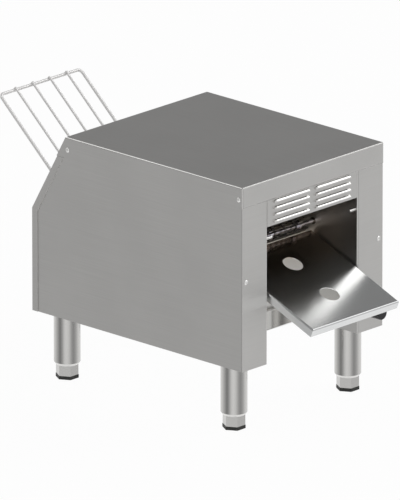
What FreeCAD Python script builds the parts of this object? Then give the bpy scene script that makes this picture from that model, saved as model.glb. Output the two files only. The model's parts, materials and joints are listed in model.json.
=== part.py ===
import FreeCAD, Part
import math
import os

import Sketcher

# A countertop conveyor toaster, in millimetres: +X is the right side seen from the front,
# +Y points to the rear and +Z is up. The origin is on the floor, under the middle of the whole.

SIZES = {
    # casing
    "bay_width": 69,
    "body_depth": 533.5,
    "body_height": 355,
    "slope_run": 87.5,
    "slope_drop": 155,
    "skirt": 41,
    "sheet": 1.2,
    "fit_gap": 0.3,
    "bend_radius": 3,
    "edge_flange": 15,
    "rear_flange": 13.5,
    "opening_width": 242,
    "opening_drop": 91.6,
    "cut_overrun": 4,
    "running_gap": 0.05,
    # louvres under the front skirt
    "louvre_recess": 1.2,
    "louvre_side_gap": 17.5,
    "louvre_radius": 5.7,
    "louvre_wall": 0.8,
    "louvre_pitch": 12.6,
    "louvre_column_gap": 13.5,
    "louvre_first_drop": 48.4,
    # base, bulkhead and crumb tray
    "bay_depth": 134.5,
    "rail_sheet": 2,
    "rail_height": 20,
    "bulkhead_drop": 186,
    "tray_height": 40,
    "tray_rear_gap": 49,
    "tray_side_gap": 3,
    "tray_lip": 9,
    # toast chute
    "chute_side_gap": 5,
    "chute_angle": 22,
    "chute_lip": 15.8,
    "chute_reach": 108,
    "chute_end_gap": 0.4,
    "chute_belt_gap": 2.47,
    "chute_hole_radius": 19.5,
    "chute_hole_first": 71.9,
    "chute_hole_pitch": 99.7,
    "chute_rail_ledge": 10,
    "chute_rail_wall": 9,
    "chute_rail_front": 8,
    # pins beside the opening
    "pin_radius": 2.6,
    "pin_length": 16.5,
    "pin_drop": 115,
    "pin_back": 7.4,
    # wire rack at the rear
    "rack_angle": 42,
    "rack_rod_radius": 3,
    "rack_wire_radius": 2.4,
    "rack_side_gap": 13.25,
    "rack_corner": 9,
    "rack_overhang": 159.5,
    "rack_bar_rise": 8,
    "rack_wire_edge_gap": 39.8,
    "rack_wire_overrun": 3,
    "rack_weld_sink": 0.4,
    "rack_foot_reach": 225,
    "rack_seat_length": 12.5,
    "rack_seat_wall": 3,
    "rack_seat_floor": 1.5,
    "rack_seat_gap": 1.2,
    "slot_top": 100,
    "slot_side_gap": 8,
    # conveyor
    "shaft_radius": 4,
    "shaft_drop": 161,
    "front_shaft_back": 114,
    "rear_shaft_inset": 28.5,
    "shaft_stub": 8,
    "collar_radius": 6.5,
    "collar_length": 4,
    "belt_radius": 12,
    "belt_wire_radius": 1,
    "belt_gap": 3.75,
    "belt_edge": 4,
    "belt_rod_pitch": 12.7,
    "belt_sprocket_tip": 10.4,
    "belt_sprocket_width": 5,
    "belt_sprocket_inset": 20,
    "sprocket_hub_radius": 7,
    "sprocket_hub_length": 12,
    "bushing_radius": 7,
    "bushing_flange_radius": 10,
    "bushing_flange": 2,
    "bushing_length": 7,
    # drive
    "chain_offset": 10.8,
    "roller_radius": 1.65,
    "chain_link_half": 2.9,
    "chain_inside": 3.2,
    "chain_plate": 1,
    "chain_gap": 0.4,
    "driven_pitch_radius": 20.3,
    "motor_pitch_radius": 12.27,
    "sprocket_thickness": 2.4,
    "motor_back": 215,
    "motor_rise": 110,
    "motor_plate_offset": 13,
    "motor_bracket_sheet": 2,
    "motor_bracket_width": 64,
    "motor_bracket_margin": 30,
    "motor_bracket_foot": 16,
    "gearbox_side": 54,
    "gearbox_length": 18,
    "motor_radius": 22,
    "motor_end_gap": 4.3,
    "motor_boss_radius": 9,
    # heating
    "heater_radius": 4,
    "heater_stub": 9,
    "upper_heater_drop": 96,
    "upper_heater_back": 165,
    "upper_heater_rear_gap": 100,
    "lower_heater_back": 190,
    "lower_heater_rear_gap": 95,
    "holder_radius": 7,
    "holder_length": 9,
    "holder_inset": 0.9,
    "holder_gap": 0.1,
    "reflector_drop": 76,
    "reflector_front": 130,
    "reflector_rear_gap": 35,
    "reflector_lip": 18,
    "lower_reflector_front": 140,
    "lower_reflector_rear_gap": 25,
    # controls
    "speed_knob_rise": 38,
    "selector_knob_rise": 66,
    "knob_radius": 12.25,
    "knob_length": 28,
    "knob_reach": 32,
    "knob_round": 1.5,
    "knob_bore_depth": 14,
    "flute_radius": 1.6,
    "spindle_radius": 3,
    "neck_radius": 4.9,
    "neck_hole_gap": 0.3,
    "neck_length": 6,
    "neck_nut_radius": 7.5,
    "neck_nut": 1.6,
    "control_box": 26,
    "control_box_depth": 30,
    # electrical connection
    "terminal_gap": 55,
    "terminal_width": 24,
    "terminal_length": 56,
    "terminal_height": 18,
    "terminal_screw_radius": 2.6,
    "gland_rise": 42,
    "gland_radius": 8,
    "gland_bore": 4.5,
    "gland_nut": 12.5,
    "gland_nut_length": 7,
    "gland_cap_radius": 9.5,
    "gland_cap_length": 10,
    "vent_length": 42,
    "vent_height": 4,
    "vent_pitch": 11,
    "vent_rise": 82,
    # legs
    "leg_height": 126.5,
    "leg_radius": 24.9,
    "leg_wall": 1.5,
    "leg_offset": 1.55,
    "leg_inset": 55,
    "leg_plug": 12,
    "leg_top": 5,
    "foot_hex_radius": 21.4,
    "foot_hex_height": 20.5,
    "foot_taper": 5,
    "foot_stem_radius": 6,
    "foot_stem_length": 45,
    "pad_radius": 22,
    "pad_height": 6.4,
    "bolt_radius": 4,
    "bolt_head_radius": 7.5,
    "bolt_head": 5.3,
    "bolt_grip": 13,
    # screws of the casing
    "screw_radius": 2,
    "screw_head_radius": 4.8,
    "screw_head": 2.6,
    "screw_grip": 8,
    "screw_gap": 0.1,
    "cover_screw_drop": 24.5,
    "cover_screw_front": 9.5,
    "cover_screw_rear": 16,
    "stile_screw_drop": 184,
    "stile_screw_inset": 10.6,
}

LOUVRE_COLUMNS = 2
LOUVRE_ROWS = 4
CHUTE_HOLES = 2
RACK_WIRES = 4
UPPER_HEATERS = 4
LOWER_HEATERS = 3
BELT_SPROCKETS = 3
BELT_SPROCKET_TEETH = 8
DRIVEN_TEETH = 20
MOTOR_TEETH = 12
KNOB_FLUTES = 14
VENT_SLOTS = 5
TERMINALS = 4
HEXAGON_SIDE_COUNT = 6
END_LINKS = 6

doc = FreeCAD.newDocument("ConveyorToaster")
sheet_table = doc.addObject("Spreadsheet::Sheet", "Sizes")
for line, (alias, number) in enumerate(SIZES.items(), start=1):
    sheet_table.set(f"A{line}", alias)
    sheet_table.set(f"B{line}", str(number))
    sheet_table.setAlias(f"B{line}", alias)
doc.recompute()


class Size:
    """A length that knows both its number and its formula in the sheet."""

    def __init__(self, number, formula):
        self.number = number
        self.formula = formula

    def __add__(self, other):
        return combine(self, other, "+")

    def __radd__(self, other):
        return combine(other, self, "+")

    def __sub__(self, other):
        return combine(self, other, "-")

    def __rsub__(self, other):
        return combine(other, self, "-")

    def __mul__(self, other):
        return combine(self, other, "*")

    def __rmul__(self, other):
        return combine(other, self, "*")

    def __truediv__(self, other):
        return combine(self, other, "/")

    def __neg__(self):
        return combine(-1, self, "*")


def as_size(term):
    if isinstance(term, Size):
        return term
    return Size(term, f"({term})" if term < 0 else str(term))


def combine(first, second, sign):
    first = as_size(first)
    second = as_size(second)
    numbers = {
        "+": lambda: first.number + second.number,
        "-": lambda: first.number - second.number,
        "*": lambda: first.number * second.number,
        "/": lambda: first.number / second.number,
    }
    return Size(numbers[sign](), f"({first.formula} {sign} {second.formula})")


def sine(angle):
    return Size(math.sin(math.radians(angle.number)), f"sin({angle.formula})")


def cosine(angle):
    return Size(math.cos(math.radians(angle.number)), f"cos({angle.formula})")


def root(term):
    return Size(math.sqrt(term.number), f"sqrt({term.formula})")


def arc_tangent(term):
    return Size(math.degrees(math.atan(term.number)), f"atan({term.formula})")


def arc_sine(term):
    return Size(math.degrees(math.asin(term.number)), f"asin({term.formula})")


class Table:
    """The named sizes, each as a Size bound to its cell."""

    def __getattr__(self, alias):
        return Size(float(getattr(sheet_table, alias)), f"Sizes.{alias}")


size = Table()
nodes = []

# Planes and levels that many pieces share.
rack_bar_back = size.body_depth + size.rack_overhang
rack_reach = rack_bar_back + size.rack_rod_radius
front = (size.chute_reach - rack_reach) / 2
rear = front + size.body_depth
base = size.leg_height
top = base + size.body_height
lap = size.sheet + size.fit_gap
opening = size.opening_width / 2
half = opening + size.bay_width
cover_depth = size.body_depth - size.slope_run
lean = size.slope_run / size.slope_drop
slant = root(1 + lean * lean)
slope_angle = arc_tangent(lean)
shaft_level = top - size.shaft_drop
wall_outside = opening + size.sheet
side_inside = half - lap - size.sheet
bay_middle = (wall_outside + side_inside) / 2
leg_x = bay_middle - size.leg_offset
chain_plane = wall_outside + size.chain_offset
chute_half = opening - size.chute_side_gap
rack_half = opening - size.rack_side_gap
belt_half = rack_half - size.rack_rod_radius - size.rack_seat_wall - size.belt_gap
louvre_length = opening - size.louvre_side_gap - size.louvre_column_gap / 2
rear_shaft_back = size.body_depth - size.rear_shaft_inset
tray_length = size.body_depth - size.bay_depth - size.tray_rear_gap
chute_run = size.chute_reach + size.front_shaft_back - size.chute_end_gap
chute_length = chute_run / cosine(size.chute_angle)
belt_bottom_drop = size.shaft_drop + size.belt_radius + size.belt_wire_radius
chute_tip_drop = belt_bottom_drop + size.chute_belt_gap + chute_length * sine(size.chute_angle)


def back(distance):
    """The Y of a point this far behind the front plane."""
    return front + distance


def rear_line(drop, inset):
    """The Y of the sloped rear face, moved inwards, this far below the cover's top."""
    return front + cover_depth + drop * lean - inset * slant


def slope_foot(inset):
    """How far below the cover's top the slope, moved inwards, meets the upright rear face."""
    return size.slope_drop + inset * (slant - 1) / lean


def bind(item, prop, term):
    item.setExpression(prop, as_size(term).formula)


def place(item, at=(0, 0, 0), turn=None, angle=None):
    """Puts an object at a bound point, turned about a row axis where one is given."""
    if turn:
        degrees = as_size(angle)
        rotation = FreeCAD.Rotation(FreeCAD.Vector(*turn), degrees.number)
        item.Placement = FreeCAD.Placement(FreeCAD.Vector(), rotation)
        if isinstance(angle, Size):
            bind(item, "Placement.Rotation.Angle", degrees)
    for axis, term in zip("xyz", at):
        if isinstance(term, Size):
            bind(item, f"Placement.Base.{axis}", term)
    return item


def box(label, x, y, z):
    """A box from its lowest and highest X, Y and Z."""
    item = doc.addObject("Part::Box", label)
    for prop, (low, high) in zip(("Length", "Width", "Height"), (x, y, z)):
        bind(item, prop, high - low)
    return place(item, (x[0], y[0], z[0]))


AXIS_TURNS = {
    "+X": ((0, 1, 0), 90),
    "-X": ((0, 1, 0), -90),
    "+Y": ((1, 0, 0), -90),
    "-Y": ((1, 0, 0), 90),
    "+Z": (None, None),
}


def cylinder(label, radius, length, at, axis="+Z"):
    """A round bar from a point along a row axis."""
    item = doc.addObject("Part::Cylinder", label)
    bind(item, "Radius", radius)
    bind(item, "Height", length)
    turn, angle = AXIS_TURNS[axis]
    return place(item, at, turn, angle)


def hex_bar(label, radius, length, at, axis="+Z"):
    item = doc.addObject("Part::Prism", label)
    item.Polygon = HEXAGON_SIDE_COUNT
    bind(item, "Circumradius", radius)
    bind(item, "Height", length)
    turn, angle = AXIS_TURNS[axis]
    return place(item, at, turn, angle)


def joined(label, pieces):
    item = doc.addObject("Part::MultiFuse", label)
    item.Shapes = pieces
    item.Refine = True
    return item


def less(label, body, tools):
    """A body with tools cut out of it."""
    item = doc.addObject("Part::Cut", label)
    item.Base = body
    item.Tool = tools[0] if len(tools) == 1 else joined(label + "_tools", tools)
    return item


def group(label, pieces):
    """Separate solids kept in one node."""
    item = doc.addObject("Part::Compound", label)
    item.Links = pieces
    return item


def keep(item):
    nodes.append(item)
    return item


def outline(body, label, role, points):
    """A closed sketch on one of the body's origin planes, each corner bound to the sheet."""
    sketch = body.newObject("Sketcher::SketchObject", label)
    plane = [item for item in body.Origin.OriginFeatures if item.Role == role][0]
    sketch.AttachmentSupport = [(plane, "")]
    sketch.MapMode = "FlatFace"
    corners = [(as_size(across), as_size(up)) for across, up in points]
    spots = [FreeCAD.Vector(across.number, up.number, 0) for across, up in corners]
    for index, spot in enumerate(spots):
        following = spots[(index + 1) % len(spots)]
        sketch.addGeometry(Part.LineSegment(spot, following), False)
    for index, (across, up) in enumerate(corners):
        following = (index + 1) % len(corners)
        sketch.addConstraint(Sketcher.Constraint("Coincident", index, 2, following, 1))
        for kind, term in (("DistanceX", across), ("DistanceY", up)):
            held = Sketcher.Constraint(kind, -1, 1, index, 1, term.number)
            number = sketch.addConstraint(held)
            if isinstance(term, Size):
                bind(sketch, f"Constraints[{number}]", term)
    return sketch


def prism(label, role, points, length, rounds=()):
    """A sketched outline padded evenly to both sides of its plane, with rounded bends."""
    body = doc.addObject("PartDesign::Body", label)
    sketch = outline(body, label + "_outline", role, points)
    pad = body.newObject("PartDesign::Pad", label + "_pad")
    pad.Profile = sketch
    pad.SideType = "Symmetric"
    bind(pad, "Length", length)
    for number, (radius, test) in enumerate(rounds):
        doc.recompute()
        base_feature = body.Tip
        edges = edge_names(base_feature.Shape, test)
        bend = body.newObject("PartDesign::Fillet", f"{label}_bend_{number}")
        bend.Base = (base_feature, edges)
        bind(bend, "Radius", radius)
    return body


def near(first, second):
    return abs(first - as_size(second).number) < size.running_gap.number


def edge_names(shape, test):
    """The names of a shape's edges whose two ends both pass a test."""
    return [
        f"Edge{number}"
        for number, edge in enumerate(shape.Edges, start=1)
        if len(edge.Vertexes) == 2 and all(test(vertex.Point) for vertex in edge.Vertexes)
    ]


def casing_outline(inset_front, inset_rear, inset_top, floor):
    """The side view of the casing, moved inwards at its front, rear and top."""
    return [
        (back(inset_front), floor),
        (back(inset_front), top - inset_top),
        (rear_line(inset_top, inset_rear), top - inset_top),
        (rear - inset_rear, top - slope_foot(inset_rear)),
        (rear - inset_rear, floor),
    ]


def at_x(side, distance):
    """A distance from the middle plane, on the left (-1) or right (+1) side."""
    return side * distance


def span(side, near_end, far_end):
    """The lowest and highest X of what lies between two distances from the middle."""
    return (side * near_end, side * far_end) if side > 0 else (side * far_end, side * near_end)


SIDES = (("left", -1), ("right", 1))
OUTWARDS = {-1: "-X", 1: "+X"}
INWARDS = {-1: "+X", 1: "-X"}


def cover_screw_places():
    """The side screws of the cover: their Y, at one height."""
    return (
        back(size.cover_screw_front),
        rear_line(size.cover_screw_drop, size.cover_screw_rear),
    )


def screw_shank_holes(label, side, x_outside):
    """Clearance holes for the cover screws through one side's sheets."""
    return [
        cylinder(
            f"{label}_screw_hole_{number}",
            size.screw_radius + size.screw_gap,
            size.screw_grip + 2 * size.cut_overrun,
            (at_x(side, x_outside + size.cut_overrun), y, top - size.cover_screw_drop),
            INWARDS[side],
        )
        for number, y in enumerate(cover_screw_places())
    ]


def make_top_cover():
    deep = size.skirt + size.cut_overrun
    outside = prism(
        "top_cover_outside",
        "YZ_Plane",
        [
            (front, top - size.skirt),
            (front, top),
            (rear_line(0, 0), top),
            (rear_line(size.skirt, 0), top - size.skirt),
        ],
        2 * half,
        [
            (
                size.bend_radius,
                lambda spot: near(spot.z, top)
                or (near(spot.y, front) and near(abs(spot.x), half)),
            )
        ],
    )
    inside = prism(
        "top_cover_inside",
        "YZ_Plane",
        [
            (front + size.sheet, top - deep),
            (front + size.sheet, top - size.sheet),
            (rear_line(size.sheet, size.sheet), top - size.sheet),
            (rear_line(deep, size.sheet), top - deep),
        ],
        2 * (half - size.sheet),
    )
    holes = []
    for name, side in SIDES:
        holes += screw_shank_holes(f"top_cover_{name}", side, half)
    keep(less("top_cover", outside, [inside] + holes))


def make_side_panel(name, side):
    """A flat outer side with flanges turned in at its front and top."""
    label = f"{name}_side_panel"
    block = prism(
        label + "_block",
        "YZ_Plane",
        casing_outline(2 * lap, 2 * lap, lap, base),
        size.edge_flange,
    )
    place(block, (at_x(side, half - lap - size.edge_flange / 2), 0, 0))
    hollow = prism(
        label + "_hollow",
        "YZ_Plane",
        casing_outline(
            2 * lap + size.sheet, -size.cut_overrun, lap + size.sheet, base - size.cut_overrun
        ),
        size.edge_flange,
    )
    place(hollow, (at_x(side, half - lap - size.sheet - size.edge_flange / 2), 0, 0))
    holes = screw_shank_holes(label, side, half)
    holes.append(stile_screw_hole(label, side))
    keep(less(label, block, [hollow] + holes))


def stile_screw_x(side):
    return at_x(side, half - lap - size.stile_screw_inset)


def stile_screw_hole(label, side):
    return cylinder(
        label + "_stile_screw_hole",
        size.screw_radius + size.screw_gap,
        size.screw_grip + 2 * size.cut_overrun,
        (stile_screw_x(side), front - size.cut_overrun, top - size.stile_screw_drop),
        "+Y",
    )


def wall_hole(label, side, radius, y, z):
    """A hole through one inner wall."""
    return cylinder(
        label,
        radius,
        size.sheet + 2 * size.cut_overrun,
        (at_x(side, opening - size.cut_overrun), y, z),
        OUTWARDS[side],
    )


def shaft_places():
    return (("front", back(size.front_shaft_back)), ("rear", back(rear_shaft_back)))


def heater_places():
    """Name, Y and Z of each heating element."""
    upper_run = rear_shaft_back - size.upper_heater_rear_gap - size.upper_heater_back
    lower_run = rear_shaft_back - size.lower_heater_rear_gap - size.lower_heater_back
    upper = [
        (
            f"upper_{number}",
            back(size.upper_heater_back + number / (UPPER_HEATERS - 1) * upper_run),
            top - size.upper_heater_drop,
        )
        for number in range(UPPER_HEATERS)
    ]
    lower = [
        (
            f"lower_{number}",
            back(size.lower_heater_back + number / (LOWER_HEATERS - 1) * lower_run),
            shaft_level,
        )
        for number in range(LOWER_HEATERS)
    ]
    return upper, lower


def make_front_panel(name, side):
    """One bent sheet: a front stile, and the inner wall behind the opening's edge."""
    label = f"{name}_front_panel"
    stile_back = back(lap + size.sheet)
    plan = [
        (at_x(side, opening), back(lap)),
        (at_x(side, half - lap), back(lap)),
        (at_x(side, half - lap), stile_back),
        (at_x(side, wall_outside), stile_back),
        (at_x(side, wall_outside), rear),
        (at_x(side, opening), rear),
    ]
    bent = prism(
        label + "_plan",
        "XY_Plane",
        plan,
        2 * size.body_height,
        [
            (
                size.bend_radius,
                lambda spot: near(abs(spot.x), opening) and near(spot.y, back(lap)),
            ),
            (
                size.bend_radius - size.sheet,
                lambda spot: near(abs(spot.x), wall_outside) and near(spot.y, stile_back),
            ),
        ],
    )
    place(bent, (0, 0, base))
    profile = prism(
        label + "_profile",
        "YZ_Plane",
        casing_outline(0, 2 * lap, lap, base),
        2 * half,
    )
    bent_to_profile = doc.addObject("Part::Common", label + "_blank")
    bent_to_profile.Base = bent
    bent_to_profile.Tool = profile
    bushing_hole = size.bushing_radius + size.running_gap
    holder_hole = size.holder_radius + size.running_gap
    holes = [stile_screw_hole(label, side)]
    for where, y in shaft_places():
        holes.append(wall_hole(f"{label}_{where}_shaft_hole", side, bushing_hole, y, shaft_level))
    upper, lower = heater_places()
    for where, y, z in upper + lower:
        holes.append(wall_hole(f"{label}_{where}_hole", side, holder_hole, y, z))
    if side > 0:
        for control, level in control_places():
            holes.append(
                cylinder(
                    f"{label}_{control}_hole",
                    size.neck_radius + size.neck_hole_gap,
                    size.sheet + 2 * size.cut_overrun,
                    (bay_middle, front - size.cut_overrun, level),
                    "+Y",
                )
            )
    keep(less(label, bent_to_profile, holes))


def louvre_places():
    """Lowest X of each louvre's column, and the level of its mouth."""
    first = -(louvre_length + size.louvre_column_gap / 2)
    column_pitch = louvre_length + size.louvre_column_gap
    for column in range(LOUVRE_COLUMNS):
        for row in range(LOUVRE_ROWS):
            x = first + column * column_pitch
            z = top - size.louvre_first_drop - row * size.louvre_pitch
            yield f"{column}_{row}", x, z


def quarter_bar(label, radius, length, x, y, z):
    """A quarter round along +X, between straight up and straight forward."""
    bar = doc.addObject("Part::Cylinder", label)
    bind(bar, "Radius", radius)
    bind(bar, "Height", length)
    bar.Angle = 90
    # The bar's own quarter lies between its X and Y axes; its length becomes the row's X.
    rotation = FreeCAD.Rotation(
        FreeCAD.Vector(0, -1, 0), FreeCAD.Vector(0, 0, 1), FreeCAD.Vector(-1, 0, 0)
    )
    bar.Placement = FreeCAD.Placement(FreeCAD.Vector(), rotation)
    return place(bar, (x + length, y, z))


def corner_ball(label, radius, side, x, y, z):
    """An eighth of a ball that closes one end of a quarter bar."""
    ball = doc.addObject("Part::Sphere", label)
    bind(ball, "Radius", radius)
    ball.Angle1 = 0
    ball.Angle2 = 90
    ball.Angle3 = 90
    quarter_turn = -90 if side > 0 else 180
    return place(ball, (x, y, z), (0, 0, 1), quarter_turn)


def louvre_form(label, radius, x, y, z):
    """The outside or the hollow of one louvre: a quarter bar with rounded ends."""
    start = x + size.louvre_radius
    length = louvre_length - 2 * size.louvre_radius
    return joined(
        label,
        [
            quarter_bar(label + "_bar", radius, length, start, y, z),
            corner_ball(label + "_left", radius, -1, start, y, z),
            corner_ball(label + "_right", radius, 1, start + length, y, z),
        ],
    )


def make_louvre_panel():
    face = back(lap + size.louvre_recess)
    edge = opening - size.fit_gap
    depth = size.edge_flange
    low = top - size.opening_drop
    high = top - lap
    block = box("louvre_panel_block", (-edge, edge), (face, face + depth), (low, high))
    hollow = box(
        "louvre_panel_hollow",
        (-edge + size.sheet, edge - size.sheet),
        (face + size.sheet, face + depth + size.cut_overrun),
        (low + size.sheet, high + size.cut_overrun),
    )
    slots = []
    hoods = []
    for number, x, z in louvre_places():
        inner_radius = size.louvre_radius - size.louvre_wall
        slots.append(
            box(
                f"louvre_slot_{number}",
                (x + size.louvre_radius, x + louvre_length - size.louvre_radius),
                (face - size.cut_overrun, face + size.sheet + size.cut_overrun / 2),
                (z, z + inner_radius),
            )
        )
        outer = louvre_form(f"louvre_outer_{number}", size.louvre_radius, x, face, z)
        inner = louvre_form(f"louvre_inner_{number}", inner_radius, x, face, z)
        hoods.append(less(f"louvre_hood_{number}", outer, [inner]))
    plate = less("louvre_panel_plate", block, [hollow] + slots)
    keep(joined("louvre_panel", [plate] + hoods))


def upright_outline(inset, depth, floor):
    """A band of even depth along the upright rear, mitred where the slope meets it."""
    inner = inset + depth
    return [
        (rear - inset, top - slope_foot(inset)),
        (rear - inset, floor),
        (rear - inner, floor),
        (rear - inner, top - slope_foot(inner)),
    ]


def slope_outline(inset, depth, drop_top):
    """A band of even depth along the sloped rear, with the same mitre at its foot."""
    inner = inset + depth
    return [
        (rear_line(drop_top, inset), top - drop_top),
        (rear - inset, top - slope_foot(inset)),
        (rear - inner, top - slope_foot(inner)),
        (rear_line(drop_top, inner), top - drop_top),
    ]


def flanged_sheet(label, wrap_outline, hollow_outline):
    """A rear sheet with flanges that lap over both side panels."""
    wrap = prism(label + "_wrap", "YZ_Plane", wrap_outline, 2 * half)
    hollow = prism(label + "_hollow", "YZ_Plane", hollow_outline, 2 * (half - size.sheet))
    return less(label + "_shell", wrap, [hollow])


def make_rear_casing():
    """The upright rear sheet."""
    shell = flanged_sheet(
        "rear_casing",
        upright_outline(lap, size.rear_flange, base),
        upright_outline(lap + size.sheet, size.rear_flange, base - size.cut_overrun),
    )
    keep(less("rear_casing", shell, [gland_hole()] + vent_slots()))


def make_rear_slope():
    """The sloped rear sheet, with a tongue that goes up under the cover's skirt."""
    below_skirt = size.skirt + size.fit_gap
    shell = flanged_sheet(
        "rear_slope",
        slope_outline(lap, size.rear_flange, below_skirt),
        slope_outline(lap + size.sheet, size.rear_flange, 0),
    )
    tongue = prism(
        "rear_slope_tongue",
        "YZ_Plane",
        [
            (rear_line(lap, lap), top - lap),
            (rear_line(below_skirt + lap, lap), top - below_skirt - lap),
            (rear_line(below_skirt + lap, lap + size.sheet), top - below_skirt - lap),
            (rear_line(lap, lap + size.sheet), top - lap),
        ],
        2 * (half - lap),
    )
    keep(less("rear_slope", joined("rear_slope_blank", [shell, tongue]), [feed_slot()]))


def slot_bottom():
    """How far down the slope the feed slot ends, just under the rack's rods."""
    tilt = size.rack_angle
    run = rack_bar_back - cover_depth
    between = sine(slope_angle) * sine(tilt) + cosine(slope_angle) * cosine(tilt)
    across = sine(tilt) * cosine(slope_angle) - cosine(tilt) * sine(slope_angle)
    crossing = (run * sine(tilt) - size.rack_bar_rise * cosine(tilt)) / between
    dip = (lap + size.sheet) * across
    return crossing + (size.rack_rod_radius + size.fit_gap + dip) / between


def slope_point(along, outwards):
    """Y and Z of a point this far down the slope and this far out of its face."""
    y = rear_line(0, 0) + along * sine(slope_angle) + outwards * cosine(slope_angle)
    z = top - along * cosine(slope_angle) + outwards * sine(slope_angle)
    return y, z


def feed_slot():
    """The opening in the slope through which bread slides in."""
    wide = rack_half + size.rack_rod_radius + size.slot_side_gap
    low = slot_bottom()
    cutter = doc.addObject("Part::Box", "feed_slot_cutter")
    bind(cutter, "Length", 2 * wide)
    bind(cutter, "Width", 2 * size.cut_overrun + lap)
    bind(cutter, "Height", low - size.slot_top)
    y, z = slope_point(low, -lap - size.cut_overrun)
    return place(cutter, (-wide, y, z), (1, 0, 0), slope_angle)


def gland_hole():
    return cylinder(
        "gland_hole",
        size.gland_radius + size.running_gap,
        size.sheet + 2 * size.cut_overrun,
        (bay_middle, rear - lap - size.sheet - size.cut_overrun, base + size.gland_rise),
        "+Y",
    )


def vent_slots():
    return [
        box(
            f"vent_slot_{number}",
            (bay_middle - size.vent_length / 2, bay_middle + size.vent_length / 2),
            (rear - lap - size.sheet - size.cut_overrun, rear + size.cut_overrun),
            (
                base + size.vent_rise + number * size.vent_pitch,
                base + size.vent_rise + number * size.vent_pitch + size.vent_height,
            ),
        )
        for number in range(VENT_SLOTS)
    ]


def make_base_rail(name, side):
    """A channel under one side compartment, which carries two legs."""
    label = f"{name}_base_rail"
    inner = wall_outside
    outer = side_inside
    y_front = back(2 * lap + size.sheet + size.fit_gap)
    y_rear = rear - lap - size.sheet - size.fit_gap
    thick = size.rail_sheet
    block = box(
        label + "_block",
        span(side, inner, outer),
        (y_front, y_rear),
        (base, base + size.rail_height),
    )
    hollow = box(
        label + "_hollow",
        span(side, inner + thick, outer - thick),
        (y_front - size.cut_overrun, y_rear + size.cut_overrun),
        (base + thick, base + size.rail_height + size.cut_overrun),
    )
    holes = [
        cylinder(
            f"{label}_{where}_hole",
            size.bolt_radius + size.screw_gap,
            thick + 2 * size.cut_overrun,
            (at_x(side, leg_x), y, base - size.cut_overrun),
        )
        for where, y in leg_rows()
    ]
    keep(less(label, block, [hollow] + holes))


def leg_rows():
    return (("front", back(size.leg_inset)), ("rear", rear - size.leg_inset))


def make_base_plate():
    y_rear = rear - 2 * lap
    keep(
        box(
            "base_plate",
            (-opening, opening),
            (back(size.bay_depth), y_rear),
            (base, base + size.sheet),
        )
    )


def make_bulkhead():
    """The sheet above the crumb tray, with its top edge turned to the rear."""
    y = back(size.bay_depth)
    low = base + size.sheet + size.tray_height + 2 * size.fit_gap
    high = top - size.bulkhead_drop
    block = box("bulkhead_block", (-opening, opening), (y, y + size.edge_flange), (low, high))
    hollow = box(
        "bulkhead_hollow",
        (-opening - size.cut_overrun, opening + size.cut_overrun),
        (y + size.sheet, y + size.edge_flange + size.cut_overrun),
        (low - size.cut_overrun, high - size.sheet),
    )
    keep(less("bulkhead", block, [hollow]))


def make_crumb_tray():
    side = opening - size.tray_side_gap
    y = back(size.bay_depth)
    low = base + size.sheet + size.fit_gap
    high = low + size.tray_height
    block = box("crumb_tray_block", (-side, side), (y, y + tray_length), (low, high))
    hollow = box(
        "crumb_tray_hollow",
        (-side + size.sheet, side - size.sheet),
        (y + size.sheet, y + tray_length - size.sheet),
        (low + size.sheet, high + size.cut_overrun),
    )
    lip = box(
        "crumb_tray_lip",
        (-side / 2, side / 2),
        (y - size.tray_lip, y),
        (high - size.sheet, high),
    )
    keep(joined("crumb_tray", [less("crumb_tray_pan", block, [hollow]), lip]))


def on_chute(item):
    """Puts what is drawn along the chute, from its tip, onto its slope."""
    return place(
        item,
        (0, front - size.chute_reach, top - chute_tip_drop),
        (1, 0, 0),
        size.chute_angle,
    )


def make_toast_chute():
    outside = prism(
        "toast_chute_outside",
        "YZ_Plane",
        [
            (0, -size.chute_lip),
            (0, 0),
            (chute_length, 0),
            (chute_length, -size.chute_lip),
        ],
        2 * chute_half,
        [
            (
                size.bend_radius,
                lambda spot: near(spot.z, 0)
                and (near(spot.y, 0) or near(abs(spot.x), chute_half)),
            )
        ],
    )
    inside = box(
        "toast_chute_inside",
        (-chute_half + size.sheet, chute_half - size.sheet),
        (size.sheet, chute_length + size.cut_overrun),
        (-size.chute_lip - size.cut_overrun, -size.sheet),
    )
    holes = [
        cylinder(
            f"toast_chute_hole_{number}",
            size.chute_hole_radius,
            size.sheet + 2 * size.cut_overrun,
            (
                0,
                size.chute_hole_first + number * size.chute_hole_pitch,
                -size.sheet - size.cut_overrun,
            ),
        )
        for number in range(CHUTE_HOLES)
    ]
    keep(on_chute(less("toast_chute", outside, [inside] + holes)))


def make_chute_rail(name, side):
    """An angle on the inner wall, under one edge of the chute."""
    label = f"{name}_chute_rail"
    start = (size.chute_reach + size.chute_rail_front) / cosine(size.chute_angle)
    seat = -size.chute_lip - size.fit_gap
    wall = box(
        label + "_wall",
        span(side, opening - size.sheet, opening),
        (start, chute_length),
        (seat - size.sheet, seat - size.sheet + size.chute_rail_wall),
    )
    ledge = box(
        label + "_ledge",
        span(side, opening - size.chute_rail_ledge, opening),
        (start, chute_length),
        (seat - size.sheet, seat),
    )
    keep(on_chute(joined(label, [wall, ledge])))


def make_guide_pins():
    pins = [
        cylinder(
            f"{name}_guide_pin",
            size.pin_radius,
            size.pin_length,
            (at_x(side, opening), back(size.pin_back), top - size.pin_drop),
            INWARDS[side],
        )
        for name, side in SIDES
    ]
    keep(group("guide_pins", pins))


def on_rack(item):
    """Puts what is drawn in the rack's plane, from its upper bar, onto its slope."""
    return place(
        item,
        (0, back(rack_bar_back), top + size.rack_bar_rise),
        (1, 0, 0),
        size.rack_angle,
    )


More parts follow.
